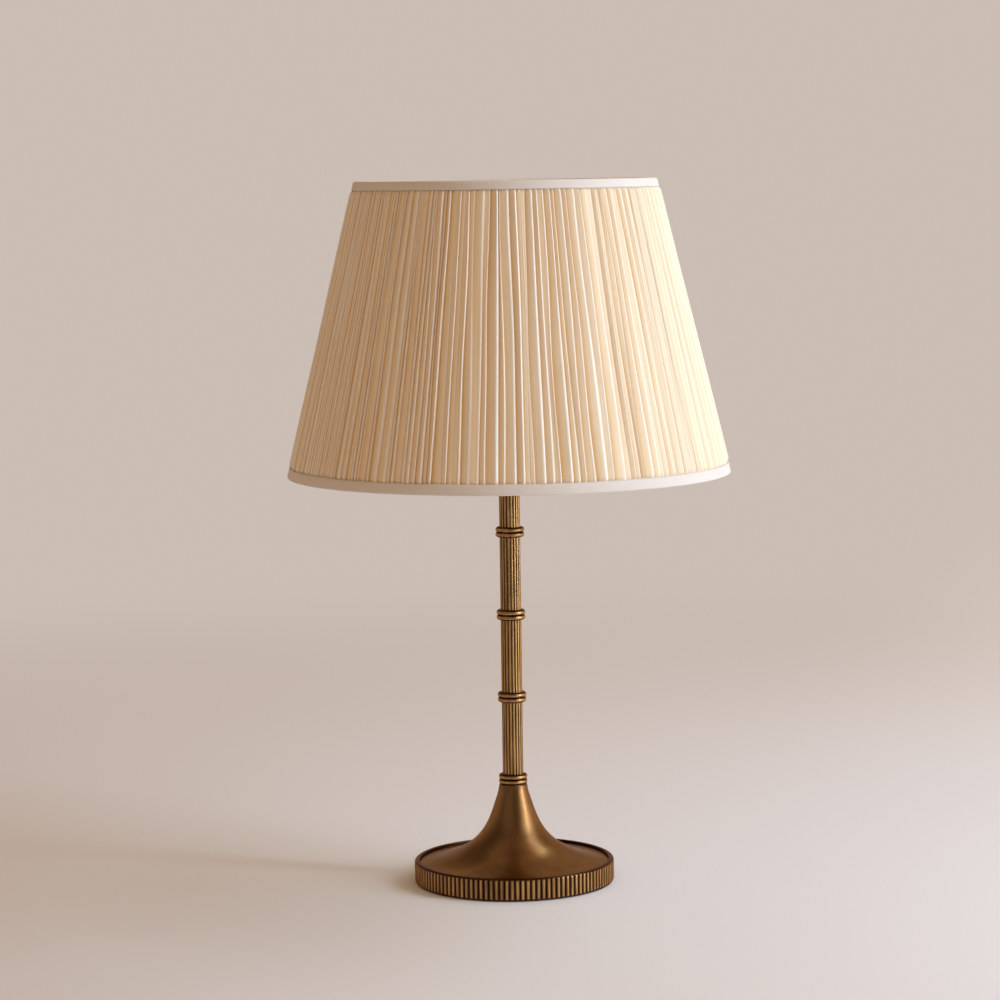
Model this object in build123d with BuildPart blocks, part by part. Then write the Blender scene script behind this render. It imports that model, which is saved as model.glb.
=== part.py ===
"""Candlestick table lamp: ribbed brass foot, reeded stem with double-bead collars,
screw lampholder with harp, and a pleated tapered shade.

Millimetres, +Z up. The origin is the centre of the underside of the felt pad, on the table.
"""

from build123d import *
from math import cos, hypot, pi, radians, sin
import os

# Foot
foot_radius = 91.0          # over the crests of the ribs
foot_height = 20.6          # table to the top of the rim
foot_ribs = 120
foot_rib_depth = 1.4
foot_band_setback = 0.8     # plain band under the ribs, inside their crests
foot_band_top = 2.2
foot_wall = 3.8             # crest of the ribs to the inside of the rim below the ledge
foot_edge_round = 2.4
foot_rim_width = 4.7        # crest of the ribs to the inside of the raised rim
foot_lip_round = 0.6
foot_ledge_z = 17.0         # where the trumpet sits
foot_ledge_depth = 3.2
foot_ledge_width = 9.3
foot_underside_z = 0.8      # the felt stands this far below the metal

# Underside
felt_thickness = 1.6
cover_thickness = 1.2
weight_gap = 0.5            # radial gap between the weight and the foot
recess_radius = 13.0        # pocket for the rod's nut
recess_depth = 5.7
cover_screws = 3
cover_screw_share = 0.69    # of the weight's radius, where the screws stand
screw_shank_radius = 1.9
screw_head_radius = 3.6
screw_length = 5.5          # below the cover, into the weight
screw_clearance = 0.15

# Cord inlet
inlet_z = 7.6
inlet_bore_radius = 2.9
inlet_tube_radius = 4.2
inlet_flange_radius = 5.7
inlet_flange_thickness = 1.5
inlet_length = 7.8          # through the wall, inside the flange
inlet_clearance = 0.1
inlet_face_relief = 0.2     # the flange's seat stands this far over the ribs' grooves
channel_width = 10.0        # cord channel in the weight

# Trumpet
trumpet_wall = 1.4
trumpet_neck_radius = 12.8
trumpet_neck_drop = 0.9     # rounded edge under the first collar
trumpet_foot_gap = 0.4      # to the inside of the rim
trumpet_foot_rise = 1.4     # outer line over the ledge at the foot
# Outer line, as shares of the way out and of the way up between neck and foot
trumpet_flare = [(0.0, 1.0), (0.0465, 0.8077), (0.1669, 0.4886), (0.4268, 0.1994), (0.7278, 0.0584), (1, 0)]
trumpet_cap = 2.4           # thickness of the closed top
trumpet_edge_round = 0.7

# Stem
first_collar_z = 94.2       # centre of the collar that sits on the trumpet
collar_pitch = 75.45
collar_count = 5
stem_radius = 9.5           # over the crests of the reeds
stem_reeds = 20
stem_reed_depth = 0.75
bead_radius = 2.5
bead_pitch = 4.4
collar_radius = 13.0        # over the beads
socket_depth = 2.2          # how far a stem section enters a collar
fit_gap = 0.1               # radial gap of a spigot in its socket

# Central rod
rod_radius = 4.85
rod_bore_radius = 3.3
rod_clearance = 0.25        # radial gap of the pieces threaded over the rod
thread_gap = 0.1            # radial gap in nuts and screwed hubs
rod_tail = 0.5              # rod below its nut
rod_nut_thickness = 3.4
rod_nut_radius = 9.6        # across the corners
washer_thickness = 1.2
washer_radius = 10.5

# Neck and harp saddle
neck_cap_height = 7.0
neck_cap_radius = 12.0
neck_cap_top_radius = 9.2
saddle_thickness = 1.6
saddle_width = 8.0
saddle_tip_width = 6.0
saddle_half_span = 24.0     # rod axis to the middle of each upright
saddle_shoulder_height = 19.3
saddle_tip_height = 9.0
saddle_bend = 4.0
neck_nut_thickness = 3.0
neck_nut_radius = 8.6

# Harp
harp_wire_radius = 1.6
harp_height = 168.0         # saddle tips to the middle of the top wire
harp_leg = 34.0             # length of the straight legs before the bows start
harp_half_width = 55.0
harp_lower_rise = 35.0      # height of the outward slope
harp_shoulder_drop = 42.0   # height of the inward slope below the top
harp_top_half_width = 30.0
harp_bends = [30.0, 60.0, 60.0, 30.0]
boss_radius = 9.0
boss_thickness = 5.0
sleeve_radius = 4.1
sleeve_bore_radius = 3.3
sleeve_length = 16.0
seat_gap = 0.1              # axial gap between pieces that turn or slide on each other

# Swivel stud and finial
swivel_pin_radius = 3.0
swivel_clearance = 0.06
swivel_head_radius = 5.0
swivel_head_thickness = 2.0
flange_radius = 8.5
flange_thickness = 2.0
stud_radius = 3.17
stud_length = 10.9
finial_height = 22.0
finial_bore_depth = 9.7
finial_clearance = 0.08
finial_foot_radius = 7.0
finial_neck_radius = 4.4
finial_ball_radius = 6.8
finial_foot_height = 2.0
finial_neck_rise = 4.0

# Lampholder
hub_radius = 8.0
hub_height = 4.7
hub_wall = 3.0              # thickness of the cap's floor
rod_in_hub = 4.5            # how far the rod reaches past the foot of the cap's dome
dome_height = 8.0           # top of the hub to the seat of the shell
dome_bulge_in = 2.6
dome_bulge_rise = 3.4
seat_width = 2.2            # how far the cap's seat reaches under the body
holder_radius = 18.2        # outside of the brass shell
holder_wall = 0.6
holder_gap = 0.2            # between the nested sleeves
holder_height = 49.0
holder_cap_wall = 0.7
holder_cap_rim = 6.0        # how far the cap laps over the shell
liner_wall = 0.9
liner_setback = 1.5
body_gap = 0.3
body_height = 27.0
screw_shell_radius = 13.8
screw_shell_wall = 0.4
screw_shell_height = 21.0
screw_shell_hole = 6.0
contact_radius = 3.5
contact_height = 2.0
terminal_head_radius = 3.0
terminal_shank_radius = 1.4
terminal_head_height = 2.0
terminal_recess_gap = 1.0
terminal_recess_depth = 4.5
terminal_z = 10.0           # above the foot of the holder body
switch_z = 16.0             # above the foot of the holder body
switch_stem_radius = 2.9
switch_stem_clearance = 0.08
switch_stem_inner = 5.0     # rod axis to the inner end of the stem
switch_knob_radius = 6.5
switch_knob_length = 11.0
switch_knob_gap = 2.0
switch_knob_lobes = 16
switch_knob_groove = 0.6
switch_window_clearance = 0.4

# Bulb
bulb_cap_clearance = 0.25
bulb_cap_wall = 0.5
bulb_cap_height = 23.0
bulb_contact_height = 2.6
bulb_contact_bevel = 1.5
bulb_contact_lip = 0.8
bulb_contact_spigot = 2.0
bulb_tip_gap = 0.2
glass_radius = 30.0
glass_height = 82.0         # above the rim of the cap
glass_neck_radius = 14.0
glass_neck_insert = 3.0
glass_wall = 1.0
glass_collar_height = 3.0   # straight neck over the rim of the cap
# Widths of the glass as shares of its radius, and how far each is below the middle of the ball
glass_shoulder_share = 0.93
glass_shoulder_drop = 14.0
glass_waist_share = 0.70
glass_waist_drop = 31.0
stem_foot_gap = 0.5         # inner stem to the neck of the glass
stem_foot_rise = 2.0
stem_waist_radius = 6.0
stem_waist_rise = 4.0
stem_tip_radius = 3.0
stem_tip_drop = 16.0
emitter_radius = 1.0
emitter_length = 30.0
emitter_offset = 7.0
emitter_count = 4
emitter_disc_radius = 8.5
emitter_disc_height = 2.0
emitter_disc_drop = 17.0

# Shade
shade_height = 264.2
shade_top_over_washer = 28.8    # how deep the spider's washer sits under the upper rim
shade_bottom_radius = 200.0
shade_top_radius = 135.7
pleat_count = 200
pleat_depth = 1.6
pleat_drift = 0.22          # unevenness of the folds, as a share of their pitch
pleat_valley = 0.34         # place of a valley between two folds
pleat_valley_drift = 0.12
cover_backing = 0.5
tape_thickness = 0.7
tape_bottom_height = 9.6
tape_top_height = 8.0
layer_gap = 0.1
ring_wire_radius = 1.3
strut_wire_radius = 1.1
strut_count = 8
lining_thickness = 0.9
spider_arms = 3
spider_turn = 90.0
spider_wire_radius = 1.5
spider_washer_radius = 12.0
spider_washer_thickness = 2.0
spider_washer_clearance = 0.4
spider_slot_clearance = 0.3

# Heights that follow from the sizes above
cover_top_z = felt_thickness + cover_thickness
weight_top_z = foot_ledge_z - foot_ledge_depth
foot_bore_radius = foot_radius - foot_wall
foot_band_radius = foot_radius - foot_band_setback
foot_lip_radius = foot_radius - foot_rim_width
foot_ledge_inner_radius = foot_lip_radius - foot_ledge_width
underside_radius = foot_bore_radius - weight_gap
cover_screw_reach = underside_radius * cover_screw_share
recess_top_z = cover_top_z + recess_depth
washer_bottom_z = recess_top_z - washer_thickness
rod_nut_bottom_z = washer_bottom_z - rod_nut_thickness
rod_bottom_z = rod_nut_bottom_z - rod_tail
collar_half_height = bead_pitch / 2 + bead_radius
trumpet_top_z = first_collar_z - collar_half_height
trumpet_neck_z = trumpet_top_z - trumpet_neck_drop
trumpet_foot_z = foot_ledge_z + trumpet_foot_rise
trumpet_foot_radius = foot_lip_radius - trumpet_foot_gap
trumpet_line = [
    (
        trumpet_neck_radius + (trumpet_foot_radius - trumpet_neck_radius) * out,
        trumpet_foot_z + (trumpet_neck_z - trumpet_foot_z) * up,
    )
    for out, up in trumpet_flare
]
sleeve_bore = rod_radius + rod_clearance
spigot_radius = stem_radius
collar_socket_radius = spigot_radius + fit_gap
section_length = collar_pitch - 2 * (collar_half_height - socket_depth)
stem_top_z = first_collar_z + (collar_count - 1) * collar_pitch + collar_half_height
saddle_z = stem_top_z + neck_cap_height
saddle_top_z = saddle_z + saddle_thickness
shoulder_z = saddle_z + saddle_shoulder_height
tip_z = shoulder_z + saddle_tip_height
neck_nut_top_z = saddle_top_z + neck_nut_thickness
holder_z = neck_nut_top_z
holder_seat_z = holder_z + hub_height + dome_height
rod_top_z = holder_z + hub_height + rod_in_hub
liner_radius = holder_radius - holder_wall - holder_gap
body_radius = liner_radius - liner_wall - body_gap
body_top_z = holder_seat_z + body_height
switch_axis_z = holder_seat_z + switch_z
screw_shell_bore = screw_shell_radius - screw_shell_wall
contact_top_z = body_top_z + contact_height
bulb_tip_z = contact_top_z + bulb_tip_gap
bulb_cap_radius = screw_shell_bore - bulb_cap_clearance
bulb_cap_z = bulb_tip_z + bulb_contact_height
bulb_rim_z = bulb_cap_z + bulb_cap_height
harp_top_z = tip_z + harp_height
boss_bottom_z = harp_top_z - boss_thickness / 2
boss_top_z = harp_top_z + boss_thickness / 2
flange_z = boss_top_z + seat_gap
stud_z = flange_z + flange_thickness
washer_z = stud_z + seat_gap
finial_z = washer_z + spider_washer_thickness + seat_gap
shade_top_z = washer_z + shade_top_over_washer
shade_bottom_z = shade_top_z - shade_height
shade_slope = (shade_bottom_radius - shade_top_radius) / shade_height

# Layers of the shade, measured inwards from its outer line
cover_inset = tape_thickness + layer_gap
valley_inset = cover_inset + pleat_depth
backing_inset = valley_inset + cover_backing
wire_inset = backing_inset + layer_gap + ring_wire_radius
lining_inset = wire_inset + ring_wire_radius + layer_gap
lining_inner_inset = lining_inset + lining_thickness
tape_inner_inset = lining_inner_inset + layer_gap
rim_inset = tape_thickness + layer_gap      # from a rim's edge to the layers inside the tape
bottom_ring_z = shade_bottom_z + rim_inset + ring_wire_radius
top_ring_z = shade_top_z - rim_inset - ring_wire_radius


def polar(radius, angle):
    """A point at a radius and an angle in degrees."""
    return (radius * cos(radians(angle)), radius * sin(radians(angle)))


def side_plane(z=0.0):
    """A vertical plane whose X is the radius and whose Y is the height above z."""
    return Plane(origin=(0, 0, z), x_dir=(1, 0, 0), z_dir=(0, -1, 0))


def reeds(radius, count, depth):
    """Closed line of convex reeds, each an arc from groove to groove."""
    step = 360 / count
    for index in range(count):
        start = polar(radius - depth, index * step)
        crest = polar(radius, (index + 0.5) * step)
        end = polar(radius - depth, ((index + 1) % count) * step)
        ThreePointArc(start, crest, end)


def inset_line(points, inset):
    """The points of a line moved to its right-hand side by inset."""
    moved = []
    for index, (x, y) in enumerate(points):
        before = points[max(index - 1, 0)]
        after = points[min(index + 1, len(points) - 1)]
        dx, dy = after[0] - before[0], after[1] - before[1]
        length = hypot(dx, dy)
        moved.append((x + dy / length * inset, y - dx / length * inset))
    return moved


def shade_radius(z):
    """Outer radius of the shade at a height."""
    return shade_bottom_radius - (z - shade_bottom_z) * shade_slope


def cone_band(low_z, high_z, outer_inset, inner_inset):
    """Closed line of a band that follows the shade's slope."""
    Polyline(
        (shade_radius(low_z) - outer_inset, low_z),
        (shade_radius(high_z) - outer_inset, high_z),
        (shade_radius(high_z) - inner_inset, high_z),
        (shade_radius(low_z) - inner_inset, low_z),
        close=True,
    )


def save(piece, name):
    """Labels a finished piece and writes it."""
    piece.part.label = name
    export_step(piece.part, f"parts/{name}.step")


os.makedirs("parts", exist_ok=True)

# ---------------------------------------------------------------- foot

with BuildPart() as foot_ring:
    with BuildSketch(Plane.XZ):
        with BuildLine():
            edge_low = (foot_radius, foot_height - foot_edge_round)
            edge_high = (foot_radius - foot_edge_round, foot_height)
            edge_centre = (foot_radius - foot_edge_round, foot_height - foot_edge_round)
            edge_middle = (
                edge_centre[0] + foot_edge_round * cos(pi / 4),
                edge_centre[1] + foot_edge_round * sin(pi / 4),
            )
            Polyline(
                (foot_bore_radius, foot_underside_z),
                (foot_band_radius, foot_underside_z),
                (foot_band_radius, foot_band_top),
                (foot_radius, foot_band_top),
                edge_low,
            )
            ThreePointArc(edge_low, edge_middle, edge_high)
            Polyline(
                edge_high,
                (foot_lip_radius + foot_lip_round, foot_height),
                (foot_lip_radius, foot_height - foot_lip_round),
                (foot_lip_radius, foot_ledge_z),
                (foot_ledge_inner_radius, foot_ledge_z),
                (foot_ledge_inner_radius, weight_top_z),
                (foot_bore_radius, weight_top_z),
                (foot_bore_radius, foot_underside_z),
            )
        make_face()
    revolve(axis=Axis.Z)
    with BuildSketch(Plane.XY.offset(foot_band_top)):
        Circle(foot_radius + foot_rib_depth)
        with BuildLine():
            reeds(foot_radius, foot_ribs, foot_rib_depth)
        make_face(mode=Mode.SUBTRACT)
    extrude(amount=foot_height, mode=Mode.SUBTRACT)
    # Spot face and hole for the cord bushing, at the back
    inlet_face_y = foot_radius - foot_rib_depth + inlet_face_relief
    with BuildSketch(Plane(origin=(0, inlet_face_y, inlet_z), z_dir=(0, 1, 0))):
        Circle(inlet_flange_radius + inlet_clearance)
    extrude(amount=inlet_flange_radius, mode=Mode.SUBTRACT)
    with BuildSketch(Plane(origin=(0, foot_bore_radius - foot_wall, inlet_z), z_dir=(0, 1, 0))):
        Circle(inlet_tube_radius + inlet_clearance)
    extrude(amount=3 * foot_wall, mode=Mode.SUBTRACT)
save(foot_ring, "foot_ring")

with BuildPart() as cord_bushing:
    with BuildSketch(Plane(origin=(0, inlet_face_y, inlet_z), z_dir=(0, 1, 0))):
        Circle(inlet_flange_radius)
    extrude(amount=inlet_flange_thickness)
    with BuildSketch(Plane(origin=(0, inlet_face_y, inlet_z), z_dir=(0, -1, 0))):
        Circle(inlet_tube_radius)
    extrude(amount=inlet_length)
    with BuildSketch(Plane(origin=(0, inlet_face_y - inlet_length, inlet_z), z_dir=(0, 1, 0))):
        Circle(inlet_bore_radius)
    extrude(amount=inlet_length + inlet_flange_thickness, mode=Mode.SUBTRACT)
save(cord_bushing, "cord_bushing")

with BuildPart() as base_weight:
    with BuildSketch(Plane.XY.offset(cover_top_z)):
        Circle(underside_radius)
        Circle(sleeve_bore, mode=Mode.SUBTRACT)
    extrude(amount=weight_top_z - cover_top_z)
    with BuildSketch(Plane.XY.offset(cover_top_z)):
        Circle(recess_radius)
    extrude(amount=recess_depth, mode=Mode.SUBTRACT)
    # Channel for the cord, from the inlet to the rod
    with BuildSketch(Plane.XY.offset(cover_top_z)):
        with Locations((0, foot_radius / 2)):
            Rectangle(channel_width, foot_radius)
    extrude(amount=inlet_z + inlet_tube_radius + inlet_clearance - cover_top_z, mode=Mode.SUBTRACT)
    with BuildSketch(Plane.XY.offset(cover_top_z)):
        with PolarLocations(cover_screw_reach, cover_screws, start_angle=-90):
            Circle(screw_shank_radius + screw_clearance)
    extrude(amount=screw_length + screw_clearance, mode=Mode.SUBTRACT)
save(base_weight, "base_weight")

with BuildPart() as base_cover:
    with BuildSketch(Plane.XY.offset(felt_thickness)):
        Circle(underside_radius)
    extrude(amount=cover_thickness)
    with PolarLocations(cover_screw_reach, cover_screws, start_angle=-90):
        with Locations((0, 0, felt_thickness + cover_thickness / 2)):
            Cone(
                screw_head_radius + screw_clearance,
                screw_shank_radius + screw_clearance,
                cover_thickness,
                mode=Mode.SUBTRACT,
            )
save(base_cover, "base_cover")

with BuildPart() as base_screws:
    with PolarLocations(cover_screw_reach, cover_screws, start_angle=-90):
        with Locations((0, 0, felt_thickness + cover_thickness / 2)):
            Cone(screw_head_radius, screw_shank_radius, cover_thickness)
        with Locations((0, 0, cover_top_z + screw_length / 2)):
            Cylinder(screw_shank_radius, screw_length)
save(base_screws, "base_screws")

with BuildPart() as felt_pad:
    with BuildSketch(Plane.XY):
        Circle(underside_radius)
    extrude(amount=felt_thickness)
save(felt_pad, "felt_pad")

with BuildPart() as trumpet:
    inner_line = inset_line(trumpet_line, trumpet_wall)
    inner_line[0] = (inner_line[0][0], trumpet_top_z - trumpet_cap)
    inner_line[-1] = (inner_line[-1][0], foot_ledge_z)
    trumpet_top_radius = trumpet_line[0][0] - trumpet_edge_round
    with BuildSketch(Plane.XZ):
        with BuildLine():
            Spline(*trumpet_line, tangents=((0.1, -1), (1, -0.14)))
            Polyline(trumpet_line[-1], (trumpet_foot_radius, foot_ledge_z), inner_line[-1])
            Spline(*reversed(inner_line), tangents=((-1, 0.14), (-0.1, 1)))
            Polyline(
                inner_line[0],
                (sleeve_bore, trumpet_top_z - trumpet_cap),
                (sleeve_bore, trumpet_top_z + socket_depth),
                (spigot_radius, trumpet_top_z + socket_depth),
                (spigot_radius, trumpet_top_z),
                (trumpet_top_radius, trumpet_top_z),
                trumpet_line[0],
            )
        make_face()
    revolve(axis=Axis.Z)
save(trumpet, "trumpet")

# ---------------------------------------------------------------- stem

for index in range(collar_count):
    collar_z = first_collar_z + index * collar_pitch
    bead_centre = collar_radius - bead_radius
    waist_radius = bead_centre + (bead_radius**2 - (bead_pitch / 2) ** 2) ** 0.5
    socket_floor = collar_half_height - socket_depth
    with BuildPart() as collar:
        with BuildSketch(side_plane(collar_z)):
            with BuildLine():
                Polyline(
                    (waist_radius, 0),
                    (sleeve_bore, 0),
                    (sleeve_bore, socket_floor),
                    (collar_socket_radius, socket_floor),
                    (collar_socket_radius, collar_half_height),
                    (bead_centre, collar_half_height),
                )
                ThreePointArc(
                    (bead_centre, collar_half_height),
                    (collar_radius, bead_pitch / 2),
                    (waist_radius, 0),
                )
            make_face()
            mirror(about=Plane.XZ)
        revolve(axis=Axis.Z)
    save(collar, f"collar_{index + 1}")

for index in range(collar_count - 1):
    section_z = first_collar_z + index * collar_pitch + collar_half_height - socket_depth
    with BuildPart() as stem_section:
        with BuildSketch(Plane.XY.offset(section_z)):
            with BuildLine():
                reeds(stem_radius, stem_reeds, stem_reed_depth)
            make_face()
            Circle(sleeve_bore, mode=Mode.SUBTRACT)
        extrude(amount=section_length)
    save(stem_section, f"stem_section_{index + 1}")

with BuildPart() as centre_rod:
    with BuildSketch(Plane.XY.offset(rod_bottom_z)):
        Circle(rod_radius)
        Circle(rod_bore_radius, mode=Mode.SUBTRACT)
    extrude(amount=rod_top_z - rod_bottom_z)
save(centre_rod, "centre_rod")

with BuildPart() as rod_washer:
    with BuildSketch(Plane.XY.offset(washer_bottom_z)):
        Circle(washer_radius)
        Circle(sleeve_bore, mode=Mode.SUBTRACT)
    extrude(amount=washer_thickness)
save(rod_washer, "rod_washer")

with BuildPart() as rod_nut:
    with BuildSketch(Plane.XY.offset(rod_nut_bottom_z)):
        RegularPolygon(rod_nut_radius, 6)
        Circle(rod_radius + thread_gap, mode=Mode.SUBTRACT)
    extrude(amount=rod_nut_thickness)
save(rod_nut, "rod_nut")

# ---------------------------------------------------------------- neck and harp

with BuildPart() as neck_cap:
    cap_bulge = neck_cap_height * 0.45
    with BuildSketch(side_plane(stem_top_z)):
        with BuildLine():
            Polyline(
                (neck_cap_top_radius, neck_cap_height),
                (sleeve_bore, neck_cap_height),
                (sleeve_bore, -socket_depth),
                (spigot_radius, -socket_depth),
                (spigot_radius, 0),
                (collar_radius - bead_radius, 0),
            )
            ThreePointArc(
                (collar_radius - bead_radius, 0),
                (neck_cap_radius, cap_bulge / 2),
                (collar_radius - bead_radius, cap_bulge),
            )
            Line((collar_radius - bead_radius, cap_bulge), (neck_cap_top_radius, neck_cap_height))
        make_face()
    revolve(axis=Axis.Z)
save(neck_cap, "neck_cap")

with BuildPart() as harp_saddle:
    saddle_outer = saddle_half_span + saddle_thickness / 2
    saddle_inner = saddle_half_span - saddle_thickness / 2
    with BuildSketch(Plane.XZ) as saddle_side:
        with BuildLine():
            Polyline(
                (-saddle_outer, tip_z),
                (-saddle_outer, saddle_z),
                (saddle_outer, saddle_z),
                (saddle_outer, tip_z),
                (saddle_inner, tip_z),
                (saddle_inner, saddle_top_z),
                (-saddle_inner, saddle_top_z),
                (-saddle_inner, tip_z),
                close=True,
            )
        make_face()
        fillet(saddle_side.vertices().group_by(Axis.Y)[0], saddle_bend)
        fillet(saddle_side.vertices().filter_by(
            lambda corner: abs(corner.Y - saddle_top_z) < 0.01 and abs(abs(corner.X) - saddle_inner) < 0.01
        ), saddle_bend - saddle_thickness)
    extrude(amount=saddle_width / 2, both=True)
    with BuildSketch(Plane.XY.offset(saddle_z)):
        Circle(neck_cap_top_radius)
    extrude(amount=saddle_thickness)
    with BuildSketch(Plane.XY.offset(saddle_z)):
        Circle(sleeve_bore)
    extrude(amount=saddle_thickness, mode=Mode.SUBTRACT)
    # The uprights step in to narrower tips, and the sleeves rest on the shoulders
    with BuildSketch(Plane.XY.offset(shoulder_z)):
        Rectangle(3 * saddle_outer, 2 * saddle_width)
        Rectangle(3 * saddle_outer, saddle_tip_width, mode=Mode.SUBTRACT)
    extrude(amount=2 * saddle_tip_height, mode=Mode.SUBTRACT)
save(harp_saddle, "harp_saddle")

with BuildPart() as neck_nut:
    with BuildSketch(Plane.XY.offset(saddle_top_z)):
        RegularPolygon(neck_nut_radius, 6)
        Circle(rod_radius + thread_gap, mode=Mode.SUBTRACT)
    extrude(amount=neck_nut_thickness)
save(neck_nut, "neck_nut")

with BuildPart() as harp:
    half_route = [
        (saddle_half_span, tip_z),
        (saddle_half_span, tip_z + harp_leg),
        (harp_half_width, tip_z + harp_leg + harp_lower_rise),
        (harp_half_width, harp_top_z - harp_shoulder_drop),
        (harp_top_half_width, harp_top_z),
    ]
    route = [(-x, 0, z) for x, z in half_route] + [(x, 0, z) for x, z in reversed(half_route)]
    with BuildLine() as harp_line:
        FilletPolyline(*route, radius=harp_bends + harp_bends[::-1])
    with BuildSketch(Plane.XY.offset(tip_z)):
        with Locations((-saddle_half_span, 0)):
            Circle(harp_wire_radius)
    sweep(path=harp_line.line)
    with BuildSketch(Plane.XY.offset(boss_bottom_z)):
        Circle(boss_radius)
    extrude(amount=boss_thickness)
    with BuildSketch(Plane.XY.offset(boss_bottom_z)):
        Circle(swivel_pin_radius + swivel_clearance)
    extrude(amount=boss_thickness, mode=Mode.SUBTRACT)
save(harp, "harp")

for side, side_name in ((-1, "left"), (1, "right")):
    with BuildPart() as harp_sleeve:
        with BuildSketch(Plane.XY.offset(shoulder_z)):
            with Locations((side * saddle_half_span, 0)):
                Circle(sleeve_radius)
                Circle(sleeve_bore_radius, mode=Mode.SUBTRACT)
        extrude(amount=sleeve_length)
    save(harp_sleeve, f"harp_sleeve_{side_name}")

with BuildPart() as harp_stud:
    head_top = boss_bottom_z - seat_gap
    with BuildSketch(Plane.XZ):
        with BuildLine():
            Polyline(
                (0, head_top - swivel_head_thickness),
                (swivel_head_radius, head_top - swivel_head_thickness),
                (swivel_head_radius, head_top),
                (swivel_pin_radius, head_top),
                (swivel_pin_radius, flange_z),
                (flange_radius, flange_z),
                (flange_radius, stud_z),
                (stud_radius, stud_z),
                (stud_radius, stud_z + stud_length),
                (0, stud_z + stud_length),
                close=True,
            )
        make_face()
    revolve(axis=Axis.Z)
save(harp_stud, "harp_stud")

with BuildPart() as finial:
    ball_z = finial_height - finial_ball_radius
    neck_z = ball_z - (finial_ball_radius**2 - finial_neck_radius**2) ** 0.5
    finial_bore = stud_radius + finial_clearance
    with BuildSketch(side_plane(finial_z)):
        with BuildLine():
            Polyline(
                (0, finial_bore_depth),
                (finial_bore, finial_bore_depth),
                (finial_bore, 0),
                (finial_foot_radius, 0),
                (finial_foot_radius, finial_foot_height),
                (finial_neck_radius, finial_neck_rise),
                (finial_neck_radius, neck_z),
            )
            ThreePointArc(
                (finial_neck_radius, neck_z),
                (finial_ball_radius, ball_z),
                (0, finial_height),
            )
            Line((0, finial_height), (0, finial_bore_depth))
        make_face()
    revolve(axis=Axis.Z)
save(finial, "finial")

# ---------------------------------------------------------------- lampholder

with BuildPart() as holder_cap:
    rim_inner = holder_radius + holder_gap
    rim_outer = rim_inner + holder_cap_wall
    seat_height = holder_seat_z - holder_z
    seat_inner = body_radius - seat_width
    with BuildSketch(side_plane(holder_z)):
        with BuildLine():
            Polyline(
                (rod_radius + thread_gap, 0),
                (hub_radius, 0),
                (hub_radius, hub_height),
            )
            ThreePointArc(
                (hub_radius, hub_height),
                (rim_outer - dome_bulge_in, hub_height + dome_bulge_rise),
                (rim_outer, seat_height),
            )
            Polyline(
                (rim_outer, seat_height),
                (rim_outer, seat_height + holder_cap_rim),
                (rim_inner, seat_height + holder_cap_rim),
                (rim_inner, seat_height),
                (seat_inner, seat_height),
                (hub_radius + hub_wall / 3, hub_height + hub_wall),
                (rod_radius + thread_gap, hub_height + hub_wall),
                (rod_radius + thread_gap, 0),
            )
        make_face()
    revolve(axis=Axis.Z)
save(holder_cap, "holder_cap")

with BuildPart() as holder_shell:
    with BuildSketch(Plane.XY.offset(holder_seat_z)):
        Circle(holder_radius)
        Circle(holder_radius - holder_wall, mode=Mode.SUBTRACT)
    extrude(amount=holder_height)
    with BuildSketch(Plane(origin=(0, 0, switch_axis_z), z_dir=(0, -1, 0))):
        Circle(switch_stem_radius + switch_window_clearance)
    extrude(amount=2 * holder_radius, mode=Mode.SUBTRACT)
save(holder_shell, "holder_shell")

with BuildPart() as holder_liner:
    with BuildSketch(Plane.XY.offset(holder_seat_z)):
        Circle(liner_radius)
        Circle(liner_radius - liner_wall, mode=Mode.SUBTRACT)
    extrude(amount=holder_height - liner_setback)
    with BuildSketch(Plane(origin=(0, 0, switch_axis_z), z_dir=(0, -1, 0))):
        Circle(switch_stem_radius + switch_window_clearance)
    extrude(amount=2 * holder_radius, mode=Mode.SUBTRACT)
save(holder_liner, "holder_liner")

with BuildPart() as holder_body:
    with BuildSketch(Plane.XY.offset(holder_seat_z)):
        Circle(body_radius)
    extrude(amount=body_height)
    # Bore for the switch stem, open to the front
    with BuildSketch(Plane(origin=(0, -switch_stem_inner, switch_axis_z), z_dir=(0, -1, 0))):
        Circle(switch_stem_radius + switch_stem_clearance)
    extrude(amount=body_radius, mode=Mode.SUBTRACT)
    # Recess and hole for a terminal screw on each side
    for side in (-1, 1):
        recess_floor = body_radius - terminal_recess_depth
        terminal_axis_z = holder_seat_z + terminal_z
        with BuildSketch(Plane(origin=(side * recess_floor, 0, terminal_axis_z), z_dir=(side, 0, 0))):
            Circle(terminal_head_radius + terminal_recess_gap)
        extrude(amount=body_radius, mode=Mode.SUBTRACT)
        with BuildSketch(Plane(origin=(side * recess_floor, 0, terminal_axis_z), z_dir=(-side, 0, 0))):
            Circle(terminal_shank_radius + thread_gap)
        extrude(amount=recess_floor / 2, mode=Mode.SUBTRACT)
save(holder_body, "holder_body")

with BuildPart() as terminal_screws:
    for side in (-1, 1):
        with BuildSketch(Plane(origin=(side * recess_floor, 0, terminal_axis_z), z_dir=(side, 0, 0))):
            Circle(terminal_head_radius)
        extrude(amount=terminal_head_height)
        with BuildSketch(Plane(origin=(side * recess_floor, 0, terminal_axis_z), z_dir=(-side, 0, 0))):
            Circle(terminal_shank_radius)
        extrude(amount=recess_floor / 2 - thread_gap)
save(terminal_screws, "terminal_screws")

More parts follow.
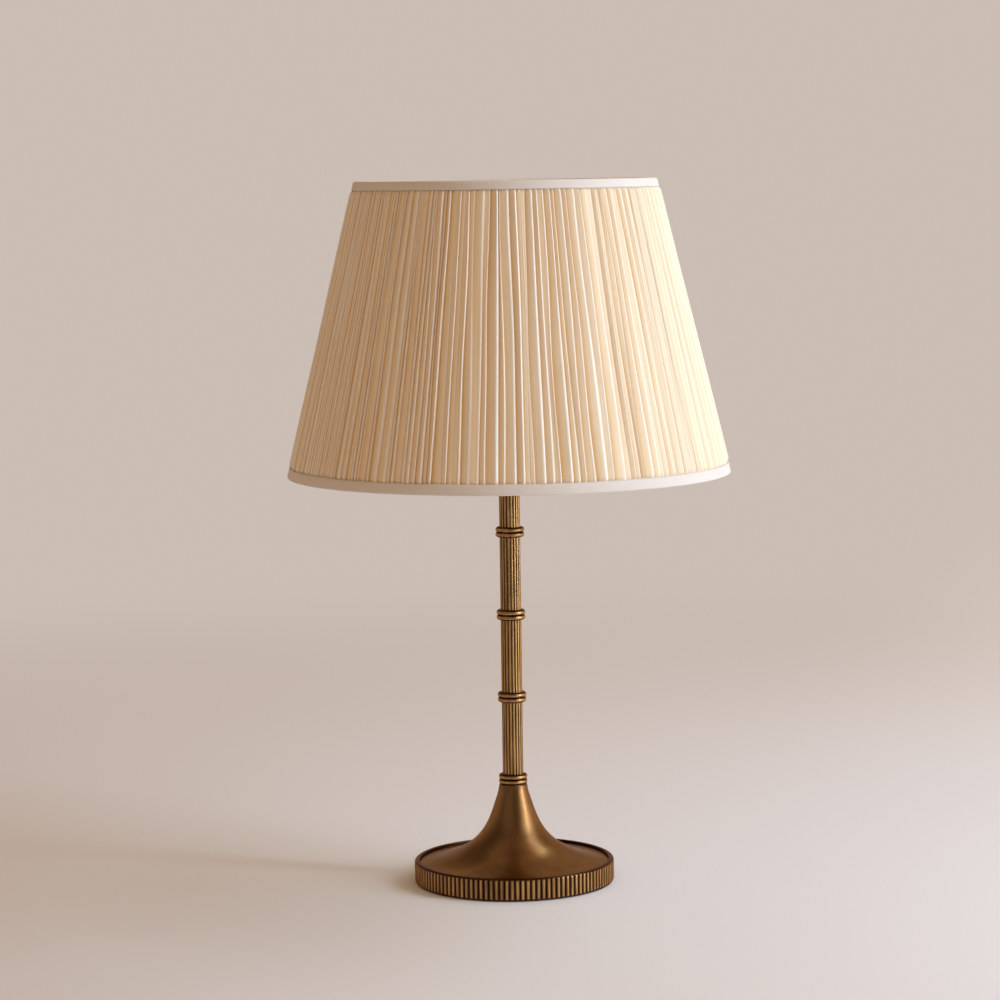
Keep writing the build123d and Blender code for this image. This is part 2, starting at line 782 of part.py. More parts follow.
with BuildPart() as screw_shell:
    with BuildSketch(side_plane(body_top_z)):
        with BuildLine():
            Polyline(
                (screw_shell_hole, 0),
                (screw_shell_radius, 0),
                (screw_shell_radius, screw_shell_height),
                (screw_shell_bore, screw_shell_height),
                (screw_shell_bore, screw_shell_wall),
                (screw_shell_hole, screw_shell_wall),
                close=True,
            )
        make_face()
    revolve(axis=Axis.Z)
save(screw_shell, "screw_shell")

with BuildPart() as centre_contact:
    with BuildSketch(Plane.XY.offset(body_top_z)):
        Circle(contact_radius)
    extrude(amount=contact_height)
    fillet(centre_contact.edges().group_by(Axis.Z)[-1], contact_height / 3)
save(centre_contact, "centre_contact")

with BuildPart() as switch_knob:
    knob_face = holder_radius + switch_knob_gap
    with BuildSketch(Plane(origin=(0, -switch_stem_inner - seat_gap, switch_axis_z), z_dir=(0, -1, 0))):
        Circle(switch_stem_radius)
    extrude(amount=knob_face - switch_stem_inner)
    with BuildSketch(Plane(origin=(0, -knob_face, switch_axis_z), z_dir=(0, -1, 0))):
        with BuildLine():
            reeds(switch_knob_radius, switch_knob_lobes, switch_knob_groove)
        make_face()
    extrude(amount=switch_knob_length)
save(switch_knob, "switch_knob")

# ---------------------------------------------------------------- bulb

glass_neck_z = bulb_rim_z - glass_neck_insert
glass_inner_neck = bulb_cap_radius - bulb_cap_wall - bulb_cap_clearance
ball_centre_z = bulb_rim_z + glass_height - glass_radius
glass_line = [
    (glass_radius, ball_centre_z),
    (glass_radius * glass_shoulder_share, ball_centre_z - glass_shoulder_drop),
    (glass_radius * glass_waist_share, ball_centre_z - glass_waist_drop),
    (glass_neck_radius, bulb_rim_z + glass_collar_height),
]
inner_glass_line = inset_line(glass_line, glass_wall)
inner_glass_line[0] = (glass_radius - glass_wall, ball_centre_z)
inner_glass_line[-1] = (glass_neck_radius - glass_wall, bulb_rim_z + glass_collar_height)

with BuildPart() as bulb_glass:
    inner_ball = glass_radius - glass_wall
    neck_inner = glass_inner_neck - glass_wall
    with BuildSketch(Plane.XZ):
        with BuildLine():
            ThreePointArc(
                (0, ball_centre_z + glass_radius),
                (glass_radius * cos(pi / 4), ball_centre_z + glass_radius * sin(pi / 4)),
                glass_line[0],
            )
            Spline(*glass_line, tangents=((0, -1), (0, -1)))
            Polyline(
                glass_line[-1],
                (glass_neck_radius, bulb_rim_z + seat_gap),
                (glass_inner_neck, bulb_rim_z + seat_gap),
                (glass_inner_neck, glass_neck_z),
                (neck_inner, glass_neck_z),
                (neck_inner, bulb_rim_z + glass_collar_height / 2),
                inner_glass_line[-1],
            )
            Spline(*reversed(inner_glass_line), tangents=((0, 1), (0, 1)))
            ThreePointArc(
                inner_glass_line[0],
                (inner_ball * cos(pi / 4), ball_centre_z + inner_ball * sin(pi / 4)),
                (0, ball_centre_z + inner_ball),
            )
            Line((0, ball_centre_z + inner_ball), (0, ball_centre_z + glass_radius))
        make_face()
    revolve(axis=Axis.Z)
save(bulb_glass, "bulb_glass")

with BuildPart() as bulb_cap:
    with BuildSketch(Plane.XY.offset(bulb_cap_z)):
        Circle(bulb_cap_radius)
        Circle(bulb_cap_radius - bulb_cap_wall, mode=Mode.SUBTRACT)
    extrude(amount=bulb_cap_height)
save(bulb_cap, "bulb_cap")

with BuildPart() as bulb_contact:
    with BuildSketch(side_plane(bulb_tip_z)):
        with BuildLine():
            Polyline(
                (0, 0),
                (contact_radius, 0),
                (contact_radius + bulb_contact_bevel, bulb_contact_lip),
                (bulb_cap_radius - bulb_cap_wall, bulb_contact_height),
                (bulb_cap_radius - bulb_cap_wall - fit_gap, bulb_contact_height),
                (bulb_cap_radius - bulb_cap_wall - fit_gap, bulb_contact_height + bulb_contact_spigot),
                (0, bulb_contact_height + bulb_contact_spigot),
                close=True,
            )
        make_face()
    revolve(axis=Axis.Z)
save(bulb_contact, "bulb_contact")

with BuildPart() as bulb_stem:
    with BuildSketch(Plane.XY.offset(bulb_cap_z + stem_foot_rise)):
        Circle(neck_inner - stem_foot_gap)
    with BuildSketch(Plane.XY.offset(bulb_rim_z + stem_waist_rise)):
        Circle(stem_waist_radius)
    with BuildSketch(Plane.XY.offset(ball_centre_z - stem_tip_drop)):
        Circle(stem_tip_radius)
    loft(ruled=True)
    with PolarLocations(emitter_offset, emitter_count):
        with Locations((0, 0, ball_centre_z)):
            Cylinder(emitter_radius, emitter_length)
    with BuildSketch(Plane.XY.offset(ball_centre_z - emitter_disc_drop)):
        Circle(emitter_disc_radius)
    extrude(amount=emitter_disc_height)
save(bulb_stem, "bulb_stem")

# ---------------------------------------------------------------- shade frame

with BuildPart() as shade_bottom_ring:
    with BuildSketch(Plane.XZ):
        with Locations((shade_radius(bottom_ring_z) - wire_inset, bottom_ring_z)):
            Circle(ring_wire_radius)
    revolve(axis=Axis.Z)
save(shade_bottom_ring, "shade_bottom_ring")

with BuildPart() as shade_top_ring:
    with BuildSketch(Plane.XZ):
        with Locations((shade_radius(top_ring_z) - wire_inset, top_ring_z)):
            Circle(ring_wire_radius)
    revolve(axis=Axis.Z)
save(shade_top_ring, "shade_top_ring")

with BuildPart() as shade_struts:
    for index in range(strut_count):
        angle = (index + 0.5) * 360 / strut_count
        low_x, low_y = polar(shade_radius(bottom_ring_z) - wire_inset, angle)
        high_x, high_y = polar(shade_radius(top_ring_z) - wire_inset, angle)
        low_end = Vector(low_x, low_y, bottom_ring_z)
        high_end = Vector(high_x, high_y, top_ring_z)
        with BuildSketch(Plane(origin=low_end, z_dir=high_end - low_end)):
            Circle(strut_wire_radius)
        extrude(amount=(high_end - low_end).length)
    add(shade_bottom_ring.part, mode=Mode.SUBTRACT)
    add(shade_top_ring.part, mode=Mode.SUBTRACT)
save(shade_struts, "shade_struts")

arm_start_radius = spider_washer_radius - spider_wire_radius
arm_start_z = washer_z + spider_washer_thickness / 2
arm_end_radius = shade_radius(top_ring_z) - wire_inset
arm_angles = [spider_turn + index * 360 / spider_arms for index in range(spider_arms)]


def spider_arm(angle, wire_radius):
    """A straight arm from the washer to the middle of the top ring's wire."""
    start = Vector(*polar(arm_start_radius, angle), arm_start_z)
    end = Vector(*polar(arm_end_radius, angle), top_ring_z)
    with BuildPart() as arm:
        with BuildSketch(Plane(origin=start, z_dir=end - start)):
            Circle(wire_radius)
        extrude(amount=(end - start).length)
    return arm.part


spider_wires = [spider_arm(angle, spider_wire_radius) for angle in arm_angles]
spider_slots = [spider_arm(angle, spider_wire_radius + spider_slot_clearance) for angle in arm_angles]

with BuildPart() as spider:
    with BuildSketch(Plane.XY.offset(washer_z)):
        Circle(spider_washer_radius)
    extrude(amount=spider_washer_thickness)
    add(spider_wires)
    with BuildSketch(Plane.XY.offset(washer_z - spider_wire_radius)):
        Circle(stud_radius + spider_washer_clearance)
    extrude(amount=spider_washer_thickness + 2 * spider_wire_radius, mode=Mode.SUBTRACT)
    add(shade_top_ring.part, mode=Mode.SUBTRACT)
save(spider, "spider")

# ---------------------------------------------------------------- shade cloth

layer_bottom_z = shade_bottom_z + rim_inset
layer_top_z = shade_top_z - rim_inset

with BuildPart() as shade_lining:
    with BuildSketch(Plane.XZ):
        with BuildLine():
            cone_band(layer_bottom_z, layer_top_z, lining_inset, lining_inner_inset)
        make_face()
    revolve(axis=Axis.Z)
    # Notches in the upper edge, where the spider's arms pass
    with BuildSketch(Plane.XY.offset(layer_top_z)):
        with PolarLocations(arm_end_radius, spider_arms, start_angle=spider_turn):
            Rectangle(6 * lining_inner_inset, 2 * (spider_wire_radius + spider_slot_clearance))
    extrude(amount=top_ring_z - layer_top_z, mode=Mode.SUBTRACT)
    add(spider_slots, mode=Mode.SUBTRACT)
save(shade_lining, "shade_lining")


def pleat_points(z):
    """Crests and valleys of the gathered cloth at a height, unevenly spaced as hand pleating is."""
    crest_radius = shade_radius(z) - cover_inset
    valley_radius = shade_radius(z) - valley_inset
    step = 360 / pleat_count
    points = []
    for index in range(pleat_count):
        drift = pleat_drift * step * (sin(index * 2.4) + 0.6 * sin(index * 0.71))
        depth = 0.75 + 0.25 * sin(index * 1.9)
        fold = pleat_valley + pleat_valley_drift * sin(index * 3.3)
        points.append(polar(crest_radius, index * step + drift))
        points.append(polar(
            crest_radius + (valley_radius - crest_radius) * depth,
            (index + fold) * step + drift,
        ))
    return points


with BuildPart() as shade_cover:
    for z in (layer_bottom_z, layer_top_z):
        with BuildSketch(Plane.XY.offset(z)):
            with BuildLine():
                Polyline(*pleat_points(z), close=True)
            make_face()
    loft(ruled=True)
    with BuildPart(mode=Mode.SUBTRACT):
        for z in (layer_bottom_z, layer_top_z):
            with BuildSketch(Plane.XY.offset(z)):
                RegularPolygon(shade_radius(z) - backing_inset, pleat_count)
        loft(ruled=True)
save(shade_cover, "shade_cover")


def tape_band(rim_z, inward, height):
    """Tape folded over a rim: an outer leg, a web over the edge and an inner leg."""
    fold_z = rim_z + inward * tape_thickness
    leg_z = rim_z + inward * height
    outer_round = tape_thickness
    with BuildPart() as tape:
        with BuildSketch(Plane.XZ):
            with BuildLine():
                Polyline(
                    (shade_radius(rim_z + inward * outer_round), rim_z + inward * outer_round),
                    (shade_radius(leg_z), leg_z),
                    (shade_radius(leg_z) - tape_thickness, leg_z),
                    (shade_radius(fold_z) - tape_thickness, fold_z),
                    (shade_radius(fold_z) - tape_inner_inset, fold_z),
                    (shade_radius(leg_z) - tape_inner_inset, leg_z),
                    (shade_radius(leg_z) - tape_inner_inset - tape_thickness, leg_z),
                    (shade_radius(rim_z) - tape_inner_inset - tape_thickness, rim_z),
                    (shade_radius(rim_z) - outer_round, rim_z),
                    close=True,
                )
            make_face()
        revolve(axis=Axis.Z)
        add(spider_slots, mode=Mode.SUBTRACT)
    return tape


save(tape_band(shade_bottom_z, 1, tape_bottom_height), "shade_bottom_tape")
save(tape_band(shade_top_z, -1, tape_top_height), "shade_top_tape")
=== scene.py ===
import math
import random
import bpy
from mathutils import Euler, Matrix, Vector


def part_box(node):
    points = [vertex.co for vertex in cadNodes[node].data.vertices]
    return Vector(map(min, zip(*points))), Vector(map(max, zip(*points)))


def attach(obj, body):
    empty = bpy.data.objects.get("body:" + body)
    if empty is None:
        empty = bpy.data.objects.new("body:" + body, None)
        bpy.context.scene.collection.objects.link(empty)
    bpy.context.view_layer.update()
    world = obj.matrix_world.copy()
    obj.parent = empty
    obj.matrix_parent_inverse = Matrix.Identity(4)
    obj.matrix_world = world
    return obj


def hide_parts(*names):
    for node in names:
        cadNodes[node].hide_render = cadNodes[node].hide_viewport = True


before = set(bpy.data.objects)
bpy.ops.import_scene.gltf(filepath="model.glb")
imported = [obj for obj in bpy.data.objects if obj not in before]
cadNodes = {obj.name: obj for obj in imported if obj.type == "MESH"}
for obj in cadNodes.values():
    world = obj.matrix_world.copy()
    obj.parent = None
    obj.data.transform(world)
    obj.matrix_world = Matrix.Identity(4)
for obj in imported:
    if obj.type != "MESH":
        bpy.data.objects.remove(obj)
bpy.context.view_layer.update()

scene = bpy.context.scene
scene.view_settings.view_transform = "Standard"

# The shade's outer line, which every layer of it follows, in metres
shadeLine = {
    "lowZ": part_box("shade_bottom_tape")[0].z,
    "highZ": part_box("shade_top_tape")[1].z,
    "lowRadius": 0.2000,
    "highRadius": 0.1357,
}


def shadeRadius(z):
    share = (z - shadeLine["lowZ"]) / (shadeLine["highZ"] - shadeLine["lowZ"])
    return shadeLine["lowRadius"] + (shadeLine["highRadius"] - shadeLine["lowRadius"]) * share


# Helpers for the node trees
def addNode(tree, kind, values=None, **settings):
    node = tree.nodes.new("ShaderNode" + kind)
    for key, value in settings.items():
        setattr(node, key, value)
    for label, value in (values or {}).items():
        feed(tree, value, node.inputs[label])
    return node


def feed(tree, value, socket):
    if isinstance(value, bpy.types.NodeSocket):
        tree.links.new(value, socket)
    else:
        socket.default_value = value


def calc(tree, operation, first, second=None, clamp=False):
    node = addNode(tree, "Math", {0: first}, operation=operation, use_clamp=clamp)
    if second is not None:
        feed(tree, second, node.inputs[1])
    return node.outputs[0]


def remap(tree, value, low, high, outLow=0.0, outHigh=1.0, soft=False):
    node = addNode(tree, "MapRange", {"Value": value, "From Min": low, "From Max": high,
                                      "To Min": outLow, "To Max": outHigh})
    node.interpolation_type = "SMOOTHSTEP" if soft else "LINEAR"
    return node.outputs[0]


def blendColour(tree, share, first, second, mode="MIX"):
    node = addNode(tree, "Mix", data_type="RGBA", blend_type=mode)
    feed(tree, share, node.inputs["Factor"])
    feed(tree, first, node.inputs[6])       # 6 and 7 are the colour sockets A and B
    feed(tree, second, node.inputs[7])
    return node.outputs[2]


def newGroup(name, inputs, outputs):
    group = bpy.data.node_groups.new(name, "ShaderNodeTree")
    for label, value in inputs.items():
        socket = group.interface.new_socket(label, in_out="INPUT", socket_type="NodeSocketFloat")
        socket.default_value = value
    for label in outputs:
        group.interface.new_socket(label, in_out="OUTPUT", socket_type="NodeSocketFloat")
    return group, group.nodes.new("NodeGroupInput"), group.nodes.new("NodeGroupOutput")


def useGroup(tree, group, values):
    node = tree.nodes.new("ShaderNodeGroup")
    node.node_tree = group
    for label, value in values.items():
        feed(tree, value, node.inputs[label])
    return node


def aroundAxis(tree):
    # Place in the object's own coordinates, distance from the lamp's axis, angle round it and height
    place = addNode(tree, "TexCoord").outputs["Object"]
    x, y, z = addNode(tree, "SeparateXYZ", {"Vector": place}).outputs
    squares = calc(tree, "ADD", calc(tree, "MULTIPLY", x, x), calc(tree, "MULTIPLY", y, y))
    return place, calc(tree, "SQRT", squares), calc(tree, "ARCTAN2", y, x), z


def drumPlace(tree, angle, z, across, along):
    # A point on a drum, on which a noise is stretched along or across the cloth
    return addNode(tree, "CombineXYZ", {
        "X": calc(tree, "MULTIPLY", calc(tree, "COSINE", angle), across),
        "Y": calc(tree, "MULTIPLY", calc(tree, "SINE", angle), across),
        "Z": calc(tree, "MULTIPLY", z, along),
    }).outputs[0]


def sizedNoise(tree, size, detail, roughness):
    # Noise with blotches about as large as size, in metres
    place = addNode(tree, "TexCoord").outputs["Object"]
    noise = addNode(tree, "TexNoise", {"Vector": place, "Scale": calc(tree, "DIVIDE", 1.0, size),
                                       "Detail": detail, "Roughness": roughness})
    return noise.outputs["Fac"]


# Effects that several finishes share, each a node group with its own fixed values above it
patinaValues = {
    "cloudDetail": 5.0,
    "cloudRoughness": 0.62,
    "cloudGain": 2.6,
    "speckDetail": 3.0,
    "speckRoughness": 0.6,
    "speckRange": (0.35, 0.72),
}


def makePatinaClouds():
    # Slow blotches of darker and lighter metal, with a finer breakup inside them
    values = patinaValues
    group, given, out = newGroup(
        "patinaClouds",
        {"Cloud Size": 0.03, "Speck Size": 0.002, "Contrast": 1.0},
        ["Mask", "Specks"],
    )
    cloud = sizedNoise(group, given.outputs["Cloud Size"], values["cloudDetail"], values["cloudRoughness"])
    speck = sizedNoise(group, given.outputs["Speck Size"], values["speckDetail"], values["speckRoughness"])
    gain = calc(group, "MULTIPLY", given.outputs["Contrast"], values["cloudGain"])
    spread = calc(group, "MULTIPLY", calc(group, "SUBTRACT", cloud, 0.5), gain)
    group.links.new(calc(group, "ADD", spread, 0.5, clamp=True), out.inputs["Mask"])
    group.links.new(remap(group, speck, *values["speckRange"]), out.inputs["Specks"])
    return group


crestValues = {
    "drawnOut": (1.0, 1.0, 0.16),      # patches are longer along the lamp's axis
    "patchScale": 260.0,
    "patchDetail": 3.0,
    "patchRange": (0.35, 0.70),
}


def makeCrestWear():
    # 0 in the grooves and 1 on the crests of a ribbed or beaded round piece, less in patches
    values = crestValues
    group, given, out = newGroup(
        "crestWear",
        {"Groove Radius": 0.0088, "Crest Radius": 0.0095, "Patchiness": 0.35},
        ["Mask"],
    )
    place, radius = aroundAxis(group)[:2]
    rise = remap(group, radius, given.outputs["Groove Radius"], given.outputs["Crest Radius"], soft=True)
    drawn = addNode(group, "VectorMath", {0: place, 1: values["drawnOut"]}, operation="MULTIPLY")
    patch = addNode(group, "TexNoise", {"Vector": drawn.outputs[0], "Scale": values["patchScale"],
                                        "Detail": values["patchDetail"]})
    patches = remap(group, patch.outputs["Fac"], *values["patchRange"])
    loss = calc(group, "MULTIPLY", given.outputs["Patchiness"], patches)
    group.links.new(calc(group, "SUBTRACT", rise, loss, clamp=True), out.inputs["Mask"])
    return group


grainValues = {
    "changeRound": 1.3,                # how much the lines change on the way round
    "lineDetail": 2.0,
    "rubScale": 90.0,
    "rubDetail": 2.0,
}


def makeSpunGrain():
    # Fine lines left round the axis by the lathe, over slow waves of the hand polish
    values = grainValues
    group, given, out = newGroup("spunGrain", {"Line Pitch": 0.0006, "Polish Waves": 0.4}, ["Height"])
    place, radius, angle, z = aroundAxis(group)
    ring = addNode(group, "CombineXYZ", {
        "X": calc(group, "DIVIDE", calc(group, "SUBTRACT", radius, z), given.outputs["Line Pitch"]),
        "Y": calc(group, "MULTIPLY", calc(group, "SINE", angle), values["changeRound"]),
        "Z": calc(group, "MULTIPLY", calc(group, "COSINE", angle), values["changeRound"]),
    })
    lines = addNode(group, "TexNoise", {"Vector": ring.outputs[0], "Scale": 1.0,
                                        "Detail": values["lineDetail"]})
    rubbed = addNode(group, "TexNoise", {"Vector": place, "Scale": values["rubScale"],
                                         "Detail": values["rubDetail"]})
    waves = calc(group, "MULTIPLY", rubbed.outputs["Fac"], given.outputs["Polish Waves"])
    group.links.new(calc(group, "ADD", lines.outputs["Fac"], waves), out.inputs["Height"])
    return group


dustValues = {
    "upwardRange": (0.25, 0.95),       # upward part of the surface's normal
    "grainDetail": 6.0,
    "grainRoughness": 0.7,
    "grainRange": (0.38, 0.75),
}


def makeSettledDust():
    # More where the surface faces up, broken up by noise
    values = dustValues
    group, given, out = newGroup("settledDust", {"Amount": 0.3, "Grain Size": 0.004}, ["Mask"])
    facing = addNode(group, "SeparateXYZ", {"Vector": addNode(group, "NewGeometry").outputs["Normal"]})
    speck = sizedNoise(group, given.outputs["Grain Size"], values["grainDetail"], values["grainRoughness"])
    upward = remap(group, facing.outputs["Z"], *values["upwardRange"], soft=True)
    broken = calc(group, "MULTIPLY", upward, remap(group, speck, *values["grainRange"]))
    dust = calc(group, "MULTIPLY", broken, given.outputs["Amount"], clamp=True)
    group.links.new(dust, out.inputs["Mask"])
    return group


weaveValues = {
    "threadShare": 0.5,                # height of the threads, against slubs and creases
    "slubAcross": 16.0,
    "slubAlong": 900.0,
    "slubDetail": 3.0,
    "slubRoughness": 0.55,
    "slubRange": (0.52, 0.80),
    "creaseAcross": 170.0,
    "creaseAlong": 9.0,
    "creaseDetail": 2.0,
    "creaseRange": (0.30, 0.70),
}


def makeClothWeave():
    # Plain weave of fine threads round a cone, with thicker threads and fine creases here and there
    values = weaveValues
    group, given, out = newGroup(
        "clothWeave",
        {"Threads Around": 2400.0, "Thread Height": 0.00045, "Slub Strength": 0.5, "Crease Strength": 0.0},
        ["Height", "Slubs", "Creases"],
    )
    angle, z = aroundAxis(group)[2:]
    across = calc(group, "SINE", calc(group, "MULTIPLY", angle, given.outputs["Threads Around"]))
    rows = calc(group, "MULTIPLY", calc(group, "DIVIDE", z, given.outputs["Thread Height"]), math.pi)
    woven = calc(group, "MULTIPLY", across, calc(group, "SINE", rows))
    # Slubs run round the cone with the threads, and creases run down it with the folds
    slub = addNode(group, "TexNoise", {
        "Vector": drumPlace(group, angle, z, values["slubAcross"], values["slubAlong"]),
        "Scale": 1.0, "Detail": values["slubDetail"], "Roughness": values["slubRoughness"],
    })
    slubs = remap(group, slub.outputs["Fac"], *values["slubRange"])
    crease = addNode(group, "TexNoise", {
        "Vector": drumPlace(group, angle, z, values["creaseAcross"], values["creaseAlong"]),
        "Scale": 1.0, "Detail": values["creaseDetail"],
    })
    creases = remap(group, crease.outputs["Fac"], *values["creaseRange"])
    thick = calc(group, "MULTIPLY", slubs, given.outputs["Slub Strength"])
    pressed = calc(group, "MULTIPLY", creases, given.outputs["Crease Strength"])
    height = calc(group, "ADD", calc(group, "MULTIPLY", woven, values["threadShare"]), thick)
    group.links.new(calc(group, "ADD", height, pressed), out.inputs["Height"])
    group.links.new(slubs, out.inputs["Slubs"])
    group.links.new(creases, out.inputs["Creases"])
    return group


patinaClouds = makePatinaClouds()
crestWear = makeCrestWear()
spunGrain = makeSpunGrain()
settledDust = makeSettledDust()
clothWeave = makeClothWeave()
print("shared effects made")


def newFinish(name, values):
    # A material with one shader, on which the values that are the same all over are set
    material = bpy.data.materials.new(name)
    material.use_nodes = True
    tree = material.node_tree
    tree.nodes.clear()
    shader = addNode(tree, "BsdfPrincipled", values)
    out = addNode(tree, "OutputMaterial")
    tree.links.new(shader.outputs[0], out.inputs["Surface"])
    return material, tree, shader


def roughen(tree, shader, height, strength, distance):
    bump = addNode(tree, "Bump", {"Height": height, "Strength": strength, "Distance": distance})
    tree.links.new(bump.outputs[0], shader.inputs["Normal"])


# Aged brass: dark in the grooves and worn bright on the crests
brassLook = {
    "groove": (0.062, 0.023, 0.008, 1.0),
    "shadow": (0.195, 0.085, 0.027, 1.0),
    "body": (0.320, 0.158, 0.052, 1.0),
    "worn": (0.740, 0.465, 0.190, 1.0),
    "dust": (0.240, 0.170, 0.110, 1.0),
    "roughness": (0.39, 0.27),         # of the shadow and of the body colour
    "speckSize": 0.0022,
    "specks": 0.14,
    "patchiness": 0.20,
    "grooveEdge": (0.08, 0.75),        # part of the way from groove to crest where the dark colour ends
    "crestEdge": (0.62, 1.0),          # and where the worn colour begins
    "wornRoughness": 0.11,
    "dustGrain": 0.0035,
    "dustRoughness": 0.5,
    "polishWaves": 0.5,
    "grainStrength": 0.18,
    "grainDepth": 0.00008,
    "shader": {"Metallic": 1.0, "Specular Tint": (0.620, 0.440, 0.330, 1.0), "Coat Weight": 0.20,
               "Coat Roughness": 0.17},
}
# groove and crest are distances from the lamp's axis, cloud and lines are sizes, all in metres
brasses = {
    "trumpetBrass": {"cloud": 0.034, "dust": 0.02},
    "footBrass": {"cloud": 0.040, "dust": 0.02, "groove": 0.09012, "crest": 0.09116, "wear": 0.90},
    "stemBrass": {"cloud": 0.018, "lines": 0.004, "groove": 0.00884, "crest": 0.00950, "wear": 0.80},
    "collarBrass": {"cloud": 0.012, "groove": 0.01205, "crest": 0.01300, "wear": 0.60},
    "fittingBrass": {"cloud": 0.010, "dust": 0.03, "lines": 0.0003},
}


def brassFinish(name, cloud, dust=0.0, lines=0.0006, groove=None, crest=None, wear=0.0):
    look = brassLook
    material, tree, shader = newFinish(name, look["shader"])
    clouds = useGroup(tree, patinaClouds, {"Cloud Size": cloud, "Speck Size": look["speckSize"],
                                           "Contrast": 1.0})
    colour = blendColour(tree, clouds.outputs["Mask"], look["shadow"], look["body"])
    specks = calc(tree, "MULTIPLY", clouds.outputs["Specks"], look["specks"])
    colour = blendColour(tree, specks, colour, look["groove"])
    rough = remap(tree, clouds.outputs["Mask"], 0.0, 1.0, *look["roughness"])
    if groove:
        rubbed = useGroup(tree, crestWear, {"Groove Radius": groove, "Crest Radius": crest,
                                            "Patchiness": look["patchiness"]}).outputs["Mask"]
        colour = blendColour(tree, remap(tree, rubbed, *look["grooveEdge"]), look["groove"], colour)
        bright = remap(tree, rubbed, *look["crestEdge"], 0.0, wear)
        colour = blendColour(tree, bright, colour, look["worn"])
        rough = calc(tree, "ADD", rough, calc(tree, "MULTIPLY", bright, look["wornRoughness"]))
    settled = useGroup(tree, settledDust, {"Amount": dust, "Grain Size": look["dustGrain"]}).outputs["Mask"]
    colour = blendColour(tree, settled, colour, look["dust"])
    rough = calc(tree, "ADD", rough, calc(tree, "MULTIPLY", settled, look["dustRoughness"]))
    feed(tree, colour, shader.inputs["Base Color"])
    feed(tree, rough, shader.inputs["Roughness"])
    grain = useGroup(tree, spunGrain, {"Line Pitch": lines, "Polish Waves": look["polishWaves"]})
    roughen(tree, shader, grain.outputs["Height"], look["grainStrength"], look["grainDepth"])
    return material


# The other metals, each with its dark and light colour and the roughness of both
metalLook = {
    "cloudSize": 0.012,
    "speckSize": 0.0018,
    "contrast": 0.9,
    "specks": 0.2,
    "linePitch": 0.0004,
    "polishWaves": 0.3,
    "grainStrength": 0.12,
    "grainDepth": 0.00005,
}
metals = {
    "harpBrass": [(0.42, 0.27, 0.11, 1.0), (0.62, 0.43, 0.20, 1.0), (0.36, 0.26)],
    "zincSteel": [(0.38, 0.38, 0.37, 1.0), (0.58, 0.58, 0.56, 1.0), (0.42, 0.30)],
    "frameWire": [(0.52, 0.49, 0.44, 1.0), (0.70, 0.67, 0.61, 1.0), (0.45, 0.32)],
    "contactBrass": [(0.55, 0.37, 0.15, 1.0), (0.75, 0.55, 0.27, 1.0), (0.34, 0.22)],
    "bulbAluminium": [(0.60, 0.60, 0.61, 1.0), (0.76, 0.76, 0.77, 1.0), (0.34, 0.22)],
}


def plainMetal(name, dark, light, roughness):
    look = metalLook
    material, tree, shader = newFinish(name, {"Metallic": 1.0})
    clouds = useGroup(tree, patinaClouds, {"Cloud Size": look["cloudSize"], "Speck Size": look["speckSize"],
                                           "Contrast": look["contrast"]})
    colour = blendColour(tree, clouds.outputs["Mask"], dark, light)
    specks = calc(tree, "MULTIPLY", clouds.outputs["Specks"], look["specks"])
    feed(tree, blendColour(tree, specks, colour, dark), shader.inputs["Base Color"])
    feed(tree, remap(tree, clouds.outputs["Mask"], 0.0, 1.0, *roughness), shader.inputs["Roughness"])
    grain = useGroup(tree, spunGrain, {"Line Pitch": look["linePitch"],
                                       "Polish Waves": look["polishWaves"]})
    roughen(tree, shader, grain.outputs["Height"], look["grainStrength"], look["grainDepth"])
    return material


# Board, card, iron, moulding and the bulb's inner glass: dark and light colour, roughness of both
solidLook = {"cloudSize": 0.01, "speckSize": 0.0008, "bumpStrength": 0.4}
solids = {
    "castIron": {"dark": (0.030, 0.029, 0.028, 1.0), "light": (0.075, 0.070, 0.066, 1.0),
                 "roughness": (0.60, 0.85), "depth": 0.0003},
    "coverBoard": {"dark": (0.120, 0.085, 0.055, 1.0), "light": (0.190, 0.140, 0.095, 1.0),
                   "roughness": (0.75, 0.90)},
    "blackPhenolic": {"dark": (0.012, 0.011, 0.010, 1.0), "light": (0.026, 0.024, 0.022, 1.0),
                      "roughness": (0.28, 0.42), "coat": 0.2},
    "linerCard": {"dark": (0.240, 0.165, 0.095, 1.0), "light": (0.330, 0.235, 0.145, 1.0),
                  "roughness": (0.80, 0.95)},
    "stemGlass": {"dark": (0.80, 0.62, 0.26, 1.0), "light": (0.90, 0.74, 0.38, 1.0),
                  "roughness": (0.30, 0.50)},
}


def plainSolid(name, dark, light, roughness, depth=0.00006, coat=0.0):
    material, tree, shader = newFinish(name, {"Coat Weight": coat})
    clouds = useGroup(tree, patinaClouds, {"Cloud Size": solidLook["cloudSize"],
                                           "Speck Size": solidLook["speckSize"], "Contrast": 1.0})
    feed(tree, blendColour(tree, clouds.outputs["Mask"], dark, light), shader.inputs["Base Color"])
    feed(tree, remap(tree, clouds.outputs["Specks"], 0.0, 1.0, *roughness), shader.inputs["Roughness"])
    roughen(tree, shader, clouds.outputs["Specks"], solidLook["bumpStrength"], depth)
    return material


